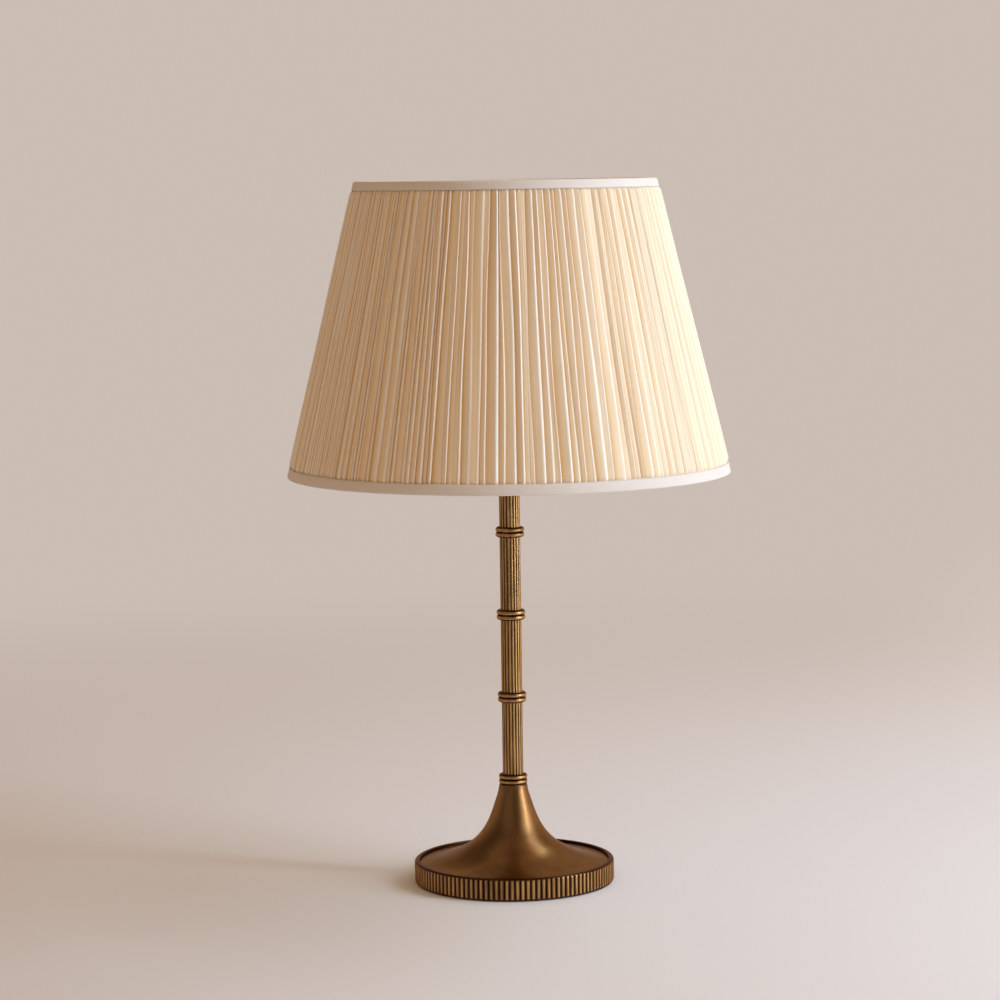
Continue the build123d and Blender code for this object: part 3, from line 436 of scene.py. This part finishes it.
# The shade's cover: warm painted shade in the grooves between the folds and in the weave's creases, and a
# pale painted highlight on their folded edges
coverLook = {
    # valley is the painted shade colour of the grooves and creases, and also the darker tone of the slubs;
    # crest is the painted highlight colour of the folded edges, and also the random paler tone of some folds
    "valley": (0.730, 0.455, 0.165, 1.0),
    "panel": (0.945, 0.800, 0.585, 1.0),
    "crest": (0.925, 0.930, 0.905, 1.0),
    "crestEdge": (0.12, 0.72),
    "toneShare": 0.18,                 # how much paler the palest fold is
    "creaseShare": 0.22,
    "slubShare": 0.10,
    "roughness": (0.62, 0.78),         # of the plain weave and of the slubs
    "weave": {"Threads Around": 2600.0, "Thread Height": 0.00042, "Slub Strength": 0.4,
              "Crease Strength": 1.6},
    "weaveStrength": 0.25,
    "weaveDepth": 0.00008,
    "shader": {"Specular IOR Level": 0.3, "Sheen Weight": 0.12, "Sheen Roughness": 0.4},
}


def coverFinish():
    look = coverLook
    material, tree, shader = newFinish("gatheredCloth", look["shader"])
    crest, groove, tone = (addNode(tree, "Attribute", attribute_name=name).outputs["Fac"]
                           for name in ("paintedFoldHighlight", "paintedFoldShade", "foldTone"))
    weave = useGroup(tree, clothWeave, look["weave"])
    # Painted shade in the grooves, then a painted highlight on the folded edges
    colour = blendColour(tree, groove, look["panel"], look["valley"])
    colour = blendColour(tree, remap(tree, crest, *look["crestEdge"], soft=True), colour, look["crest"])
    colour = blendColour(tree, calc(tree, "MULTIPLY", tone, look["toneShare"]), colour, look["crest"])
    # Painted shade in the weave's creases; the slubs take the same colour as a darker thread tone
    for marks, share in (("Creases", look["creaseShare"]), ("Slubs", look["slubShare"])):
        streak = calc(tree, "MULTIPLY", weave.outputs[marks], share)
        colour = blendColour(tree, streak, colour, look["valley"])
    rough = remap(tree, weave.outputs["Slubs"], 0.0, 1.0, *look["roughness"])
    feed(tree, colour, shader.inputs["Base Color"])
    feed(tree, rough, shader.inputs["Roughness"])
    roughen(tree, shader, weave.outputs["Height"], look["weaveStrength"], look["weaveDepth"])
    return material


# The lining and the tapes, which lie flat
flatLook = {
    "cloudSize": 0.05,
    "speckSize": 0.0012,
    "contrast": 0.7,
    "clouds": 0.55,
    "slubStrength": 0.35,
    "slubs": 0.2,
    "roughness": (0.70, 0.85),
    "weaveStrength": 0.3,
    "weaveDepth": 0.00008,
    "shader": {"Sheen Weight": 0.1, "Specular IOR Level": 0.25},
}
flatCloths = {
    "stretchedLining": {"light": (0.840, 0.770, 0.660, 1.0), "dark": (0.945, 0.800, 0.585, 1.0),
                        "around": 2200.0, "threadHeight": 0.00050},
    "foldedTape": {"light": (0.780, 0.740, 0.700, 1.0), "dark": (0.715, 0.665, 0.620, 1.0),
                   "around": 2600.0, "threadHeight": 0.00045},
}


def flatClothFinish(name, light, dark, around, threadHeight):
    look = flatLook
    material, tree, shader = newFinish(name, look["shader"])
    weave = useGroup(tree, clothWeave, {"Threads Around": around, "Thread Height": threadHeight,
                                        "Slub Strength": look["slubStrength"]})
    clouds = useGroup(tree, patinaClouds, {"Cloud Size": look["cloudSize"], "Speck Size": look["speckSize"],
                                           "Contrast": look["contrast"]})
    colour = blendColour(tree, calc(tree, "MULTIPLY", clouds.outputs["Mask"], look["clouds"]), light, dark)
    colour = blendColour(tree, calc(tree, "MULTIPLY", weave.outputs["Slubs"], look["slubs"]), colour, dark)
    rough = remap(tree, clouds.outputs["Specks"], 0.0, 1.0, *look["roughness"])
    feed(tree, colour, shader.inputs["Base Color"])
    feed(tree, rough, shader.inputs["Roughness"])
    roughen(tree, shader, weave.outputs["Height"], look["weaveStrength"], look["weaveDepth"])
    return material


bulbGlassLook = {
    "film": {"Cloud Size": 0.02, "Speck Size": 0.003, "Contrast": 0.8},
    "roughness": (0.0, 0.03),
    "shader": {"Base Color": (0.985, 0.99, 0.985, 1.0), "IOR": 1.48, "Transmission Weight": 1.0},
}


def bulbGlassFinish():
    look = bulbGlassLook
    material, tree, shader = newFinish("bulbGlass", look["shader"])
    film = useGroup(tree, patinaClouds, look["film"])
    rough = remap(tree, film.outputs["Mask"], 0.0, 1.0, *look["roughness"])
    feed(tree, rough, shader.inputs["Roughness"])
    return material


feltLook = {
    "dark": (0.030, 0.045, 0.030, 1.0),
    "light": (0.055, 0.075, 0.050, 1.0),
    "fibre": (0.090, 0.110, 0.080, 1.0),
    "fibreShare": 0.4,
    "clouds": {"Cloud Size": 0.015, "Speck Size": 0.0007, "Contrast": 1.0},
    "bumpStrength": 0.8,
    "bumpDepth": 0.0003,
    "shader": {"Roughness": 0.95, "Sheen Weight": 0.35},
}


def feltFinish():
    look = feltLook
    material, tree, shader = newFinish("pressedFelt", look["shader"])
    clouds = useGroup(tree, patinaClouds, look["clouds"])
    colour = blendColour(tree, clouds.outputs["Mask"], look["dark"], look["light"])
    fibres = calc(tree, "MULTIPLY", clouds.outputs["Specks"], look["fibreShare"])
    feed(tree, blendColour(tree, fibres, colour, look["fibre"]), shader.inputs["Base Color"])
    roughen(tree, shader, clouds.outputs["Specks"], look["bumpStrength"], look["bumpDepth"])
    return material


finishes = {
    "gatheredCloth": coverFinish(),
    "bulbGlass": bulbGlassFinish(),
    "pressedFelt": feltFinish(),
}
for name, values in brasses.items():
    finishes[name] = brassFinish(name, **values)
for name, (dark, light, roughness) in metals.items():
    finishes[name] = plainMetal(name, dark, light, roughness)
for name, values in solids.items():
    finishes[name] = plainSolid(name, **values)
for name, values in flatCloths.items():
    finishes[name] = flatClothFinish(name, **values)

# Solid pieces that keep the shape they have, and the finish that each gets
piecesOfFinish = {
    "trumpetBrass": ["trumpet"],
    "footBrass": ["foot_ring"],
    "stemBrass": [f"stem_section_{index}" for index in (1, 2, 3, 4)],
    "collarBrass": [f"collar_{index}" for index in (1, 2, 3, 4, 5)],
    "fittingBrass": ["neck_cap", "finial", "holder_cap", "holder_shell", "switch_knob", "harp_sleeve_left",
                     "harp_sleeve_right", "neck_nut"],
    "harpBrass": ["harp", "harp_saddle", "harp_stud"],
    "zincSteel": ["centre_rod", "rod_washer", "rod_nut", "base_screws"],
    "frameWire": ["shade_bottom_ring", "shade_top_ring", "shade_struts", "spider"],
    "contactBrass": ["screw_shell", "centre_contact", "terminal_screws"],
    "bulbAluminium": ["bulb_contact"],
    "castIron": ["base_weight"],
    "coverBoard": ["base_cover"],
    "blackPhenolic": ["holder_body", "cord_bushing"],
    "linerCard": ["holder_liner"],
    "bulbGlass": ["bulb_glass"],
    "stemGlass": ["bulb_stem"],
}
for finish, names in piecesOfFinish.items():
    for name in names:
        cadNodes[name].data.materials.clear()
        cadNodes[name].data.materials.append(finishes[finish])
print("finishes placed on the solid pieces")


# Helpers for the pieces that are made here, which are all round the lamp's axis
def meshPiece(name, points, faces, material):
    mesh = bpy.data.meshes.new(name)
    mesh.from_pydata(points, [], faces)
    mesh.polygons.foreach_set("use_smooth", [True] * len(faces))
    mesh.materials.append(material)
    mesh.update()
    piece = bpy.data.objects.new(name, mesh)
    scene.collection.objects.link(piece)
    return piece


def roundPoint(radius, angle, z):
    return (radius * math.cos(angle), radius * math.sin(angle), z)


def ringFaces(rows, columns, closed=False):
    # Quads between neighbouring rings of points, and where closed, from the last ring to the first
    pairs = [(row, row + 1) for row in range(rows - 1)]
    if closed:
        pairs.append((rows - 1, 0))
    return [
        (row * columns + column, row * columns + (column + 1) % columns,
         after * columns + (column + 1) % columns, after * columns + column)
        for row, after in pairs for column in range(columns)
    ]


wanderLine = {"waves": 3, "height": (0.4, 1.0), "beat": (0.7, 1.2)}


def wander(places, rng):
    # A smooth random line: a few sine waves with random phases, from about -1 to 1
    parts = []
    for wave in range(1, wanderLine["waves"] + 1):
        height = rng.uniform(*wanderLine["height"]) / wave
        beat = wave * rng.uniform(*wanderLine["beat"])
        parts.append((height, beat, rng.uniform(0, 2 * math.pi)))
    return [sum(height * math.sin(beat * math.pi * place + phase) for height, beat, phase in parts)
            for place in places]


# Gathered cover. Depths inside a fold are shares of "depth", from 0 at a crest to 1 in a valley
coverShape = {
    "folds": 200,
    "seed": 41,
    "middleRows": 29,
    "underTape": (0.0087, 0.0071),     # height of cloth that the lower and the upper tape cover
    "tuckedRow": 0.55,                 # place of a row of points on that height, from the rim
    "rowsOut": (0.0, 0.0010, 0.0022, 0.0038, 0.0075, 0.0130),   # rows from the tape's edge on
    "bulge": 0.0036,                   # height over which the folds come out from under a tape
    "edge": 0.0008,                    # rim's edge to the cloth, inside the tape
    "proud": 0.0008,                   # crests between the tapes, outside the shade's outer line
    "tucked": 0.0009,                  # crests under the tape, inside it
    "depth": 0.0030,                   # crest to valley
    "deepest": 1.12,
    "pressedDepth": 0.62,              # share of the depth that is left under a tape
    "unevenWidth": 0.36,
    "narrowest": 0.12,                 # least width where neighbours crowd a fold, as a share of its own
    "drift": 0.26,                     # how far a fold wanders sideways, as a share of its width
    "leastDrift": 0.4,                 # share of that wandering at the lower rim
    "lowShare": 0.36,                  # share of the folds that stay lower than their neighbours
    "lowCrest": (0.26, 0.55),
    "fullCrest": (0.0, 0.14),
    "pressedCrest": 0.4,               # share of the crests' unevenness that is left under a tape
    "valley": (0.48, 1.0),
    "sway": 0.10,                      # how much crests and valleys rise and fall along a fold
    "creaseShare": 0.45,               # share of the folds with a crease down their panel
    "creasePlace": (0.30, 0.55),
    "creaseDepth": (0.10, 0.22),
    "creaseWidth": 0.09,
    # The next three values set the painted shade in a fold's groove
    "paintedShadeStart": 0.30,               # depth of a valley at which its dark colour begins
    "paintedShadeFull": 0.55,                # further depth over which it becomes full
    "leastPaintedShade": 0.1,
    # Across one fold: place, depth from crest to valley, painted highlight on the folded edge, painted shade
    # in the groove
    "profile": [(0.0, 1.0, 0.0, 1.0), (0.04, 0.94, 0.0, 0.95), (0.15, 0.76, 0.0, 0.62),
                (0.35, 0.50, 0.0, 0.20), (0.56, 0.26, 0.0, 0.05), (0.70, 0.09, 0.3, 0.0),
                (0.77, 0.015, 0.9, 0.0), (0.83, 0.02, 1.0, 0.0), (0.885, 0.15, 1.0, 0.0),
                (0.93, 0.40, 0.8, 0.1), (0.968, 0.74, 0.2, 0.6)],
}


def grow(least, share):
    return least + (1 - least) * share


def coverHeights(shape, lowZ, highZ):
    # Heights of the rows of points, close together where the folds come out from under a tape
    lowSteps, highSteps = ([0.0, under * shape["tuckedRow"]] + [under + step for step in shape["rowsOut"]]
                           for under in shape["underTape"])
    low = [lowZ + step for step in lowSteps]
    high = [highZ - step for step in reversed(highSteps)]
    gap = (high[0] - low[-1]) / (shape["middleRows"] + 1)
    return low + [low[-1] + gap * (step + 1) for step in range(shape["middleRows"])] + high


def drawFolds(shape, places):
    # One dictionary for each fold, with its random values. The order of the draws fixes the result
    rng = random.Random(shape["seed"])
    count = shape["folds"]
    widths = [math.exp(rng.gauss(0, shape["unevenWidth"])) for index in range(count)]
    drifts = [wander(places, rng) for index in range(count)]
    crests = [(rng.uniform(*shape["lowCrest"]) if rng.random() < shape["lowShare"]
               else rng.uniform(*shape["fullCrest"]), wander(places, rng)) for index in range(count)]
    valleys = [(rng.uniform(*shape["valley"]), wander(places, rng)) for index in range(count)]
    creases = [(rng.random() < shape["creaseShare"], rng.uniform(*shape["creasePlace"]),
                rng.uniform(*shape["creaseDepth"])) for index in range(count)]
    tones = [rng.random() for index in range(count)]
    total = sum(widths)
    return [{
        "start": 2 * math.pi * sum(widths[:index]) / total,
        "span": 2 * math.pi * widths[index] / total,
        "drift": drifts[index],
        "crest": crests[index],
        "valley": valleys[index],
        "crease": creases[index],
        "tone": tones[index],
    } for index in range(count)]


def gatheredCover():
    shape = coverShape
    lowZ = shadeLine["lowZ"] + shape["edge"]
    highZ = shadeLine["highZ"] - shape["edge"]
    heights = coverHeights(shape, lowZ, highZ)
    places = [(z - lowZ) / (highZ - lowZ) for z in heights]
    folds = drawFolds(shape, places)
    points, paintedHighlightMask, paintedShadeMask, toneMask = [], [], [], []
    for row, z in enumerate(heights):
        clear = min(z - lowZ - shape["underTape"][0], highZ - z - shape["underTape"][1])
        free = min(1.0, max(0.0, clear / shape["bulge"]))
        free = math.sin(free * math.pi / 2)                # 0 under the tapes, 1 between them
        line = shadeRadius(z) - (shape["tucked"] - (shape["proud"] + shape["tucked"]) * free)
        drift = shape["drift"] * grow(shape["leastDrift"], places[row])
        bounds = [fold["start"] + fold["span"] * drift * fold["drift"][row] for fold in folds]
        valleys = [fold["valley"][0] + shape["sway"] * fold["valley"][1][row] for fold in folds]
        for index, fold in enumerate(folds):
            following = (index + 1) % len(folds)
            end = bounds[following] + (2 * math.pi if following == 0 else 0)
            width = max(end - bounds[index], shape["narrowest"] * fold["span"])
            lift, liftWander = fold["crest"]
            crestDepth = (lift + shape["sway"] * liftWander[row]) * grow(shape["pressedCrest"], free)
            creased, creasePlace, creaseDepth = fold["crease"]
            for place, deep, highlit, dark in shape["profile"]:
                valleyDepth = valleys[index] + (valleys[following] - valleys[index]) * place
                if creased:
                    near = math.exp(-((place - creasePlace) / shape["creaseWidth"]) ** 2)
                    deep += creaseDepth * near * (1 - deep)
                depth = min(crestDepth + (valleyDepth - crestDepth) * deep, shape["deepest"])
                radius = line - shape["depth"] * depth * grow(shape["pressedDepth"], free)
                points.append(roundPoint(radius, bounds[index] + width * place, z))
                # Painted shade in the groove, darker where the valley is deeper; painted highlight on the
                # folded edge, less where the crest lies low
                darkness = (valleyDepth - shape["paintedShadeStart"]) / shape["paintedShadeFull"]
                paintedHighlightMask.append(highlit * (1 - crestDepth))
                paintedShadeMask.append(dark * min(1.0, max(shape["leastPaintedShade"], darkness)))
                toneMask.append(fold["tone"])
    faces = ringFaces(len(heights), len(folds) * len(shape["profile"]))
    cover = meshPiece("coverCloth", points, faces, finishes["gatheredCloth"])
    for label, values in (("paintedFoldHighlight", paintedHighlightMask), ("paintedFoldShade", paintedShadeMask), ("foldTone", toneMask)):
        layer = cover.data.attributes.new(label, "FLOAT", "POINT")
        layer.data.foreach_set("value", values)
    return cover


coverCloth = gatheredCover()
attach(coverCloth, "shade")
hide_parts("shade_cover")
print("gathered cover made")

liningShape = {
    "rows": 12,
    "columns": 192,
    "inset": 0.0061,                   # inside the shade's outer line
    "edge": 0.0012,
    "sag": 0.0004,
    "struts": 8,
}


def stretchedLining():
    shape = liningShape
    lowZ = shadeLine["lowZ"] + shape["edge"]
    highZ = shadeLine["highZ"] - shape["edge"]
    points = []
    for row in range(shape["rows"]):
        share = row / (shape["rows"] - 1)
        z = lowZ + (highZ - lowZ) * share
        for column in range(shape["columns"]):
            angle = 2 * math.pi * column / shape["columns"]
            between = math.sin(shape["struts"] / 2 * angle) ** 2      # 0 at a strut, 1 between two
            sag = shape["sag"] * math.sin(math.pi * share) * (1 - between)
            points.append(roundPoint(shadeRadius(z) - shape["inset"] - sag, angle, z))
    faces = [face[::-1] for face in ringFaces(shape["rows"], shape["columns"])]
    return meshPiece("liningCloth", points, faces, finishes["stretchedLining"])


liningCloth = stretchedLining()
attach(liningCloth, "shade")
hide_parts("shade_lining")

tapeShape = {
    "thickness": 0.0006,
    "lowHeight": 0.0096,
    "highHeight": 0.0080,
    "outsideRows": (0.8, 0.5),         # rows of points down the outside and up the inside, as shares of that
    "insideRows": (0.5, 0.98),
    "columns": 320,
    "inner": 0.0071,                   # outer line to the tape's inner face
    "bend": 0.0011,                    # radius of the turns at the rim
    "turnSteps": 4,
    "gap": 0.00005,                    # to the rim's plane and to the outer line
    "seed": 17,
    "ripples": 6,
    "rippleCount": (5, 34),
    "rippleTurn": 6.28,
    "rippleHeight": (0.00003, 0.00008),
    "rippleAtFold": 0.3,               # share of the ripple that is left away from the tape's two edges
}


def tapePath(shape, height):
    # Middle line of the folded tape, as distance inside the outer line and height over the rim
    half, inner, bend = shape["thickness"] / 2, shape["inner"], shape["bend"]
    steps = shape["turnSteps"]
    path = [(half + shape["gap"], height)]
    path += [(half, height * share) for share in shape["outsideRows"]]
    path.append((half, bend + half))
    for step in range(1, steps + 1):
        turn = math.pi / 2 * step / steps
        path.append((half + bend - bend * math.cos(turn), half + bend - bend * math.sin(turn)))
    path.append((inner / 2, half + shape["gap"]))
    for step in range(steps + 1):
        turn = math.pi / 2 * step / steps
        path.append((inner - half - bend + bend * math.sin(turn), half + bend - bend * math.cos(turn)))
    return path + [(inner - half, height * share) for share in shape["insideRows"]]


def foldedTape(name, rimZ, inward, height):
    # Tape over the rim, from the outside to the inside. inward is 1 where the shade is above it, and else -1
    shape = tapeShape
    half, columns = shape["thickness"] / 2, shape["columns"]
    path = tapePath(shape, height)
    last = len(path) - 1
    rng = random.Random(shape["seed"] + inward)
    ripple = [(rng.randint(*shape["rippleCount"]), rng.uniform(0, shape["rippleTurn"]),
               rng.uniform(*shape["rippleHeight"])) for wave in range(shape["ripples"])]
    section = []
    for side in (1, -1):
        for index in range(last + 1)[::side]:
            before, after = path[max(index - 1, 0)], path[min(index + 1, last)]
            dx, dy = after[0] - before[0], after[1] - before[1]
            length = math.hypot(dx, dy)
            section.append((path[index][0] + side * dy / length * half,
                            path[index][1] - side * dx / length * half, index))
    points = []
    for inset, rise, index in section:
        loose = 1.0 if index in (0, last) else shape["rippleAtFold"]
        for column in range(columns):
            angle = 2 * math.pi * column / columns
            wave = sum(high * math.sin(count * angle + phase) for count, phase, high in ripple)
            z = rimZ + inward * (rise + wave * loose)
            points.append(roundPoint(shadeRadius(z) - inset, angle, z))
    faces = ringFaces(len(section), columns, closed=True)
    if inward < 0:
        faces = [face[::-1] for face in faces]
    return meshPiece(name, points, faces, finishes["foldedTape"])


lowTape = foldedTape("lowerTape", shadeLine["lowZ"], 1, tapeShape["lowHeight"])
highTape = foldedTape("upperTape", shadeLine["highZ"], -1, tapeShape["highHeight"])
for piece, node in ((lowTape, "shade_bottom_tape"), (highTape, "shade_top_tape")):
    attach(piece, "shade")
    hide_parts(node)
print("lining and tapes made")

feltShape = {
    "radius": 0.0867,
    "centre": 0.004,                   # radius of the flat faces that close the disc's middle
    "thickness": 0.0016,
    "edgeRound": 0.0005,
    "cornerShare": 0.3,                # place of the rounding's middle point, as a share of its radius
    "fray": 0.00012,
    "columns": 160,
    "seed": 5,
}


def feltDisc():
    shape = feltShape
    rng = random.Random(shape["seed"])
    radius, thickness, rounding = shape["radius"], shape["thickness"], shape["edgeRound"]
    corner = rounding * shape["cornerShare"]
    # Half a section, from the middle of the underside round the edge to the middle of the top
    section = [(shape["centre"], 0.0), (radius / 2, 0.0), (radius - rounding, 0.0),
               (radius - corner, corner), (radius, rounding), (radius, thickness - corner),
               (radius - rounding, thickness), (radius / 2, thickness), (shape["centre"], thickness)]
    edgePoints = (3, 4, 5)             # the points of the section that fray
    points = []
    for index, (out, z) in enumerate(section):
        for column in range(shape["columns"]):
            frayed = rng.uniform(-shape["fray"], 0.0) if index in edgePoints else 0.0
            points.append(roundPoint(out + frayed, 2 * math.pi * column / shape["columns"], z))
    faces = ringFaces(len(section), shape["columns"])
    faces.append(tuple(range(shape["columns"]))[::-1])
    faces.append(tuple(range((len(section) - 1) * shape["columns"], len(section) * shape["columns"])))
    return meshPiece("feltDisc", points, faces, finishes["pressedFelt"])


feltPiece = feltDisc()
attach(feltPiece, "root")
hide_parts("felt_pad")
print("felt pad made")

capShape = {
    "columns": 72,
    "rows": 66,
    "pitch": 0.0036,
    "threadDepth": 0.00080,
    "wall": 0.0010,
    "plain": 0.0022,                   # height at each end without a thread
    "fadeIn": 0.0015,                  # height over which the thread reaches its depth
}


def threadedCap():
    # Rolled thread in the bulb's thin cap, plain at both ends, with the cap's inside behind it
    shape = capShape
    low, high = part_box("bulb_cap")
    radius = (high.x - low.x) / 2
    rows, columns = shape["rows"], shape["columns"]
    angles = [2 * math.pi * column / columns for column in range(columns)]
    points = []
    for row in range(rows):
        z = low.z + (high.z - low.z) * row / (rows - 1)
        rolled = min(1.0, max(0.0, (min(z - low.z, high.z - z) - shape["plain"]) / shape["fadeIn"]))
        for angle in angles:
            wave = 0.5 - 0.5 * math.cos(2 * math.pi * z / shape["pitch"] - angle)
            points.append(roundPoint(radius - shape["threadDepth"] * wave * rolled, angle, z))
    for z in (high.z, low.z):
        points += [roundPoint(radius - shape["wall"], angle, z) for angle in angles]
    faces = ringFaces(rows + 2, columns, closed=True)
    return meshPiece("bulbCapThread", points, faces, finishes["bulbAluminium"])


bulbCap = threadedCap()
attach(bulbCap, "bulb")
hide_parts("bulb_cap")
print("bulb cap made")

# The lining is cut to the cone, 1.03 m long at its middle
print("sheets declared")

# Floor, room and light
stageLook = {
    "floor": (0.830, 0.845, 0.890, 1.0),
    "floorRoughness": 0.9,
    "floorSpecular": 0.1,
    "floorRadius": 14.0,
    "floorCorners": 96,
    "fadeRange": (0.5, 2.2),           # distance over which the floor becomes the backdrop
    "horizon": (0.595, 0.510, 0.455, 1.0),
    "zenith": (0.130, 0.108, 0.094, 1.0),
    "zenithRange": (0.10, 0.75),
    "nearSide": 0.30,                  # brightness of the room behind the camera, against the horizon's
    "nearRange": (-0.75, 0.55),
    "windowSide": 1.7,                 # and on the window's side
    "windowRange": (0.25, 0.90),
    "ambient": (0.400, 0.250, 0.130, 1.0),
}


def seenDirectly(tree):
    # 1 where the eye, a reflection or glass shows the backdrop, 0 where it only lights
    path = addNode(tree, "LightPath")
    seen = calc(tree, "MAXIMUM", path.outputs["Is Camera Ray"], path.outputs["Is Glossy Ray"])
    return calc(tree, "MAXIMUM", seen, path.outputs["Is Transmission Ray"])


def roomColour(tree, away, across):
    # The backdrop, with painted shade on the side of the room that the camera stands on and painted window
    # light on the window's side
    look = stageLook
    dim = remap(tree, away, *look["nearRange"], look["nearSide"], 1.0, soft=True)
    lit = calc(tree, "MULTIPLY", dim, remap(tree, across, *look["windowRange"], 1.0, look["windowSide"],
                                            soft=True))
    grey = addNode(tree, "CombineColor", {"Red": lit, "Green": lit, "Blue": lit})
    return blendColour(tree, 1.0, look["horizon"], grey.outputs[0], "MULTIPLY")


def makeFloor():
    bpy.ops.mesh.primitive_circle_add(vertices=stageLook["floorCorners"], radius=stageLook["floorRadius"],
                                      fill_type="NGON")
    floor = bpy.context.object
    floor.name = "floor"
    material, tree, shader = newFinish("paleFloor", {
        "Base Color": stageLook["floor"],
        "Roughness": stageLook["floorRoughness"],
        "Specular IOR Level": stageLook["floorSpecular"],
    })
    radius, angle = aroundAxis(tree)[1:3]
    room = roomColour(tree, calc(tree, "SINE", angle), calc(tree, "COSINE", angle))
    # Far off, the floor glows with the backdrop, including its painted window light and painted shade
    glow = addNode(tree, "Emission", {"Color": room})
    far = remap(tree, radius, *stageLook["fadeRange"], soft=True)
    mix = addNode(tree, "MixShader", {0: calc(tree, "MULTIPLY", far, seenDirectly(tree))})
    tree.links.new(shader.outputs[0], mix.inputs[1])
    tree.links.new(glow.outputs[0], mix.inputs[2])
    tree.links.new(mix.outputs[0], tree.nodes["Material Output"].inputs["Surface"])
    floor.data.materials.append(material)


def makeWorld():
    world = bpy.data.worlds.new("studio")
    world.use_nodes = True
    scene.world = world
    tree = world.node_tree
    tree.nodes.clear()
    facing = addNode(tree, "SeparateXYZ", {"Vector": addNode(tree, "TexCoord").outputs["Generated"]})
    height = remap(tree, facing.outputs["Z"], *stageLook["zenithRange"], soft=True)
    room = roomColour(tree, facing.outputs["Y"], facing.outputs["X"])
    shown = blendColour(tree, height, room, stageLook["zenith"])
    colour = blendColour(tree, seenDirectly(tree), stageLook["ambient"], shown)
    back = addNode(tree, "Background", {"Color": colour, "Strength": 1.0})
    tree.links.new(back.outputs[0], addNode(tree, "OutputWorld").inputs["Surface"])


# All lamps face one point on the lamp's axis. azimuth is to the right of the camera's line, in degrees
lampTarget = (0, 0, 0.34)
lamps = {
    "windowKey": {"azimuth": 71, "elevation": 18, "distance": 2.2, "size": (2.0, 2.3), "watts": 25.2,
                  "colour": (0.74, 0.87, 1.0)},
    "windowStrip": {"azimuth": 70, "elevation": 12, "distance": 2.1, "size": (0.30, 2.1), "watts": 21,
                    "colour": (0.80, 0.89, 1.0)},
    "windowTop": {"azimuth": 108, "elevation": 54, "distance": 2.4, "size": (1.8, 0.75), "watts": 15.5,
                  "colour": (0.80, 0.89, 1.0)},
    "frontFill": {"azimuth": -30, "elevation": 30, "distance": 3.4, "size": (3.0, 3.0), "watts": 6,
                  "colour": (1.0, 0.86, 0.72)},
    "backFill": {"azimuth": 165, "elevation": 40, "distance": 3.4, "size": (3.0, 3.0), "watts": 8,
                 "colour": (1.0, 0.92, 0.84)},
}


def makeLamps():
    for name, lamp in lamps.items():
        data = bpy.data.lights.new(name, "AREA")
        data.shape = "RECTANGLE"
        data.size, data.size_y = lamp["size"]
        data.energy = lamp["watts"]
        data.color = lamp["colour"]
        light = bpy.data.objects.new(name, data)
        scene.collection.objects.link(light)
        azimuth, elevation = math.radians(lamp["azimuth"]), math.radians(lamp["elevation"])
        towards = Vector((math.sin(azimuth) * math.cos(elevation), -math.cos(azimuth) * math.cos(elevation),
                          math.sin(elevation)))
        light.location = Vector(lampTarget) + towards * lamp["distance"]
        light.rotation_euler = (-towards).to_track_quat("-Z", "Y").to_euler()


cameraSetup = {
    "place": (-0.00846, -2.854, 0.6463),
    "pitchDown": 5.94,                 # degrees
    "roll": -0.8,
    "lens": 114.3,                     # millimetres
    "sensor": 36.0,
    "farLimit": 60.0,
}


def makeCamera():
    data = bpy.data.cameras.new("camera")
    data.lens = cameraSetup["lens"]
    data.sensor_width = cameraSetup["sensor"]
    data.clip_end = cameraSetup["farLimit"]
    camera = bpy.data.objects.new("camera", data)
    scene.collection.objects.link(camera)
    tilt = Euler((math.radians(90 - cameraSetup["pitchDown"]), 0, 0)).to_matrix().to_4x4()
    roll = Matrix.Rotation(math.radians(cameraSetup["roll"]), 4, "Z")
    camera.matrix_world = Matrix.Translation(cameraSetup["place"]) @ tilt @ roll
    scene.camera = camera


makeFloor()
makeWorld()
makeLamps()
makeCamera()
print("stage, lamps and camera ready")
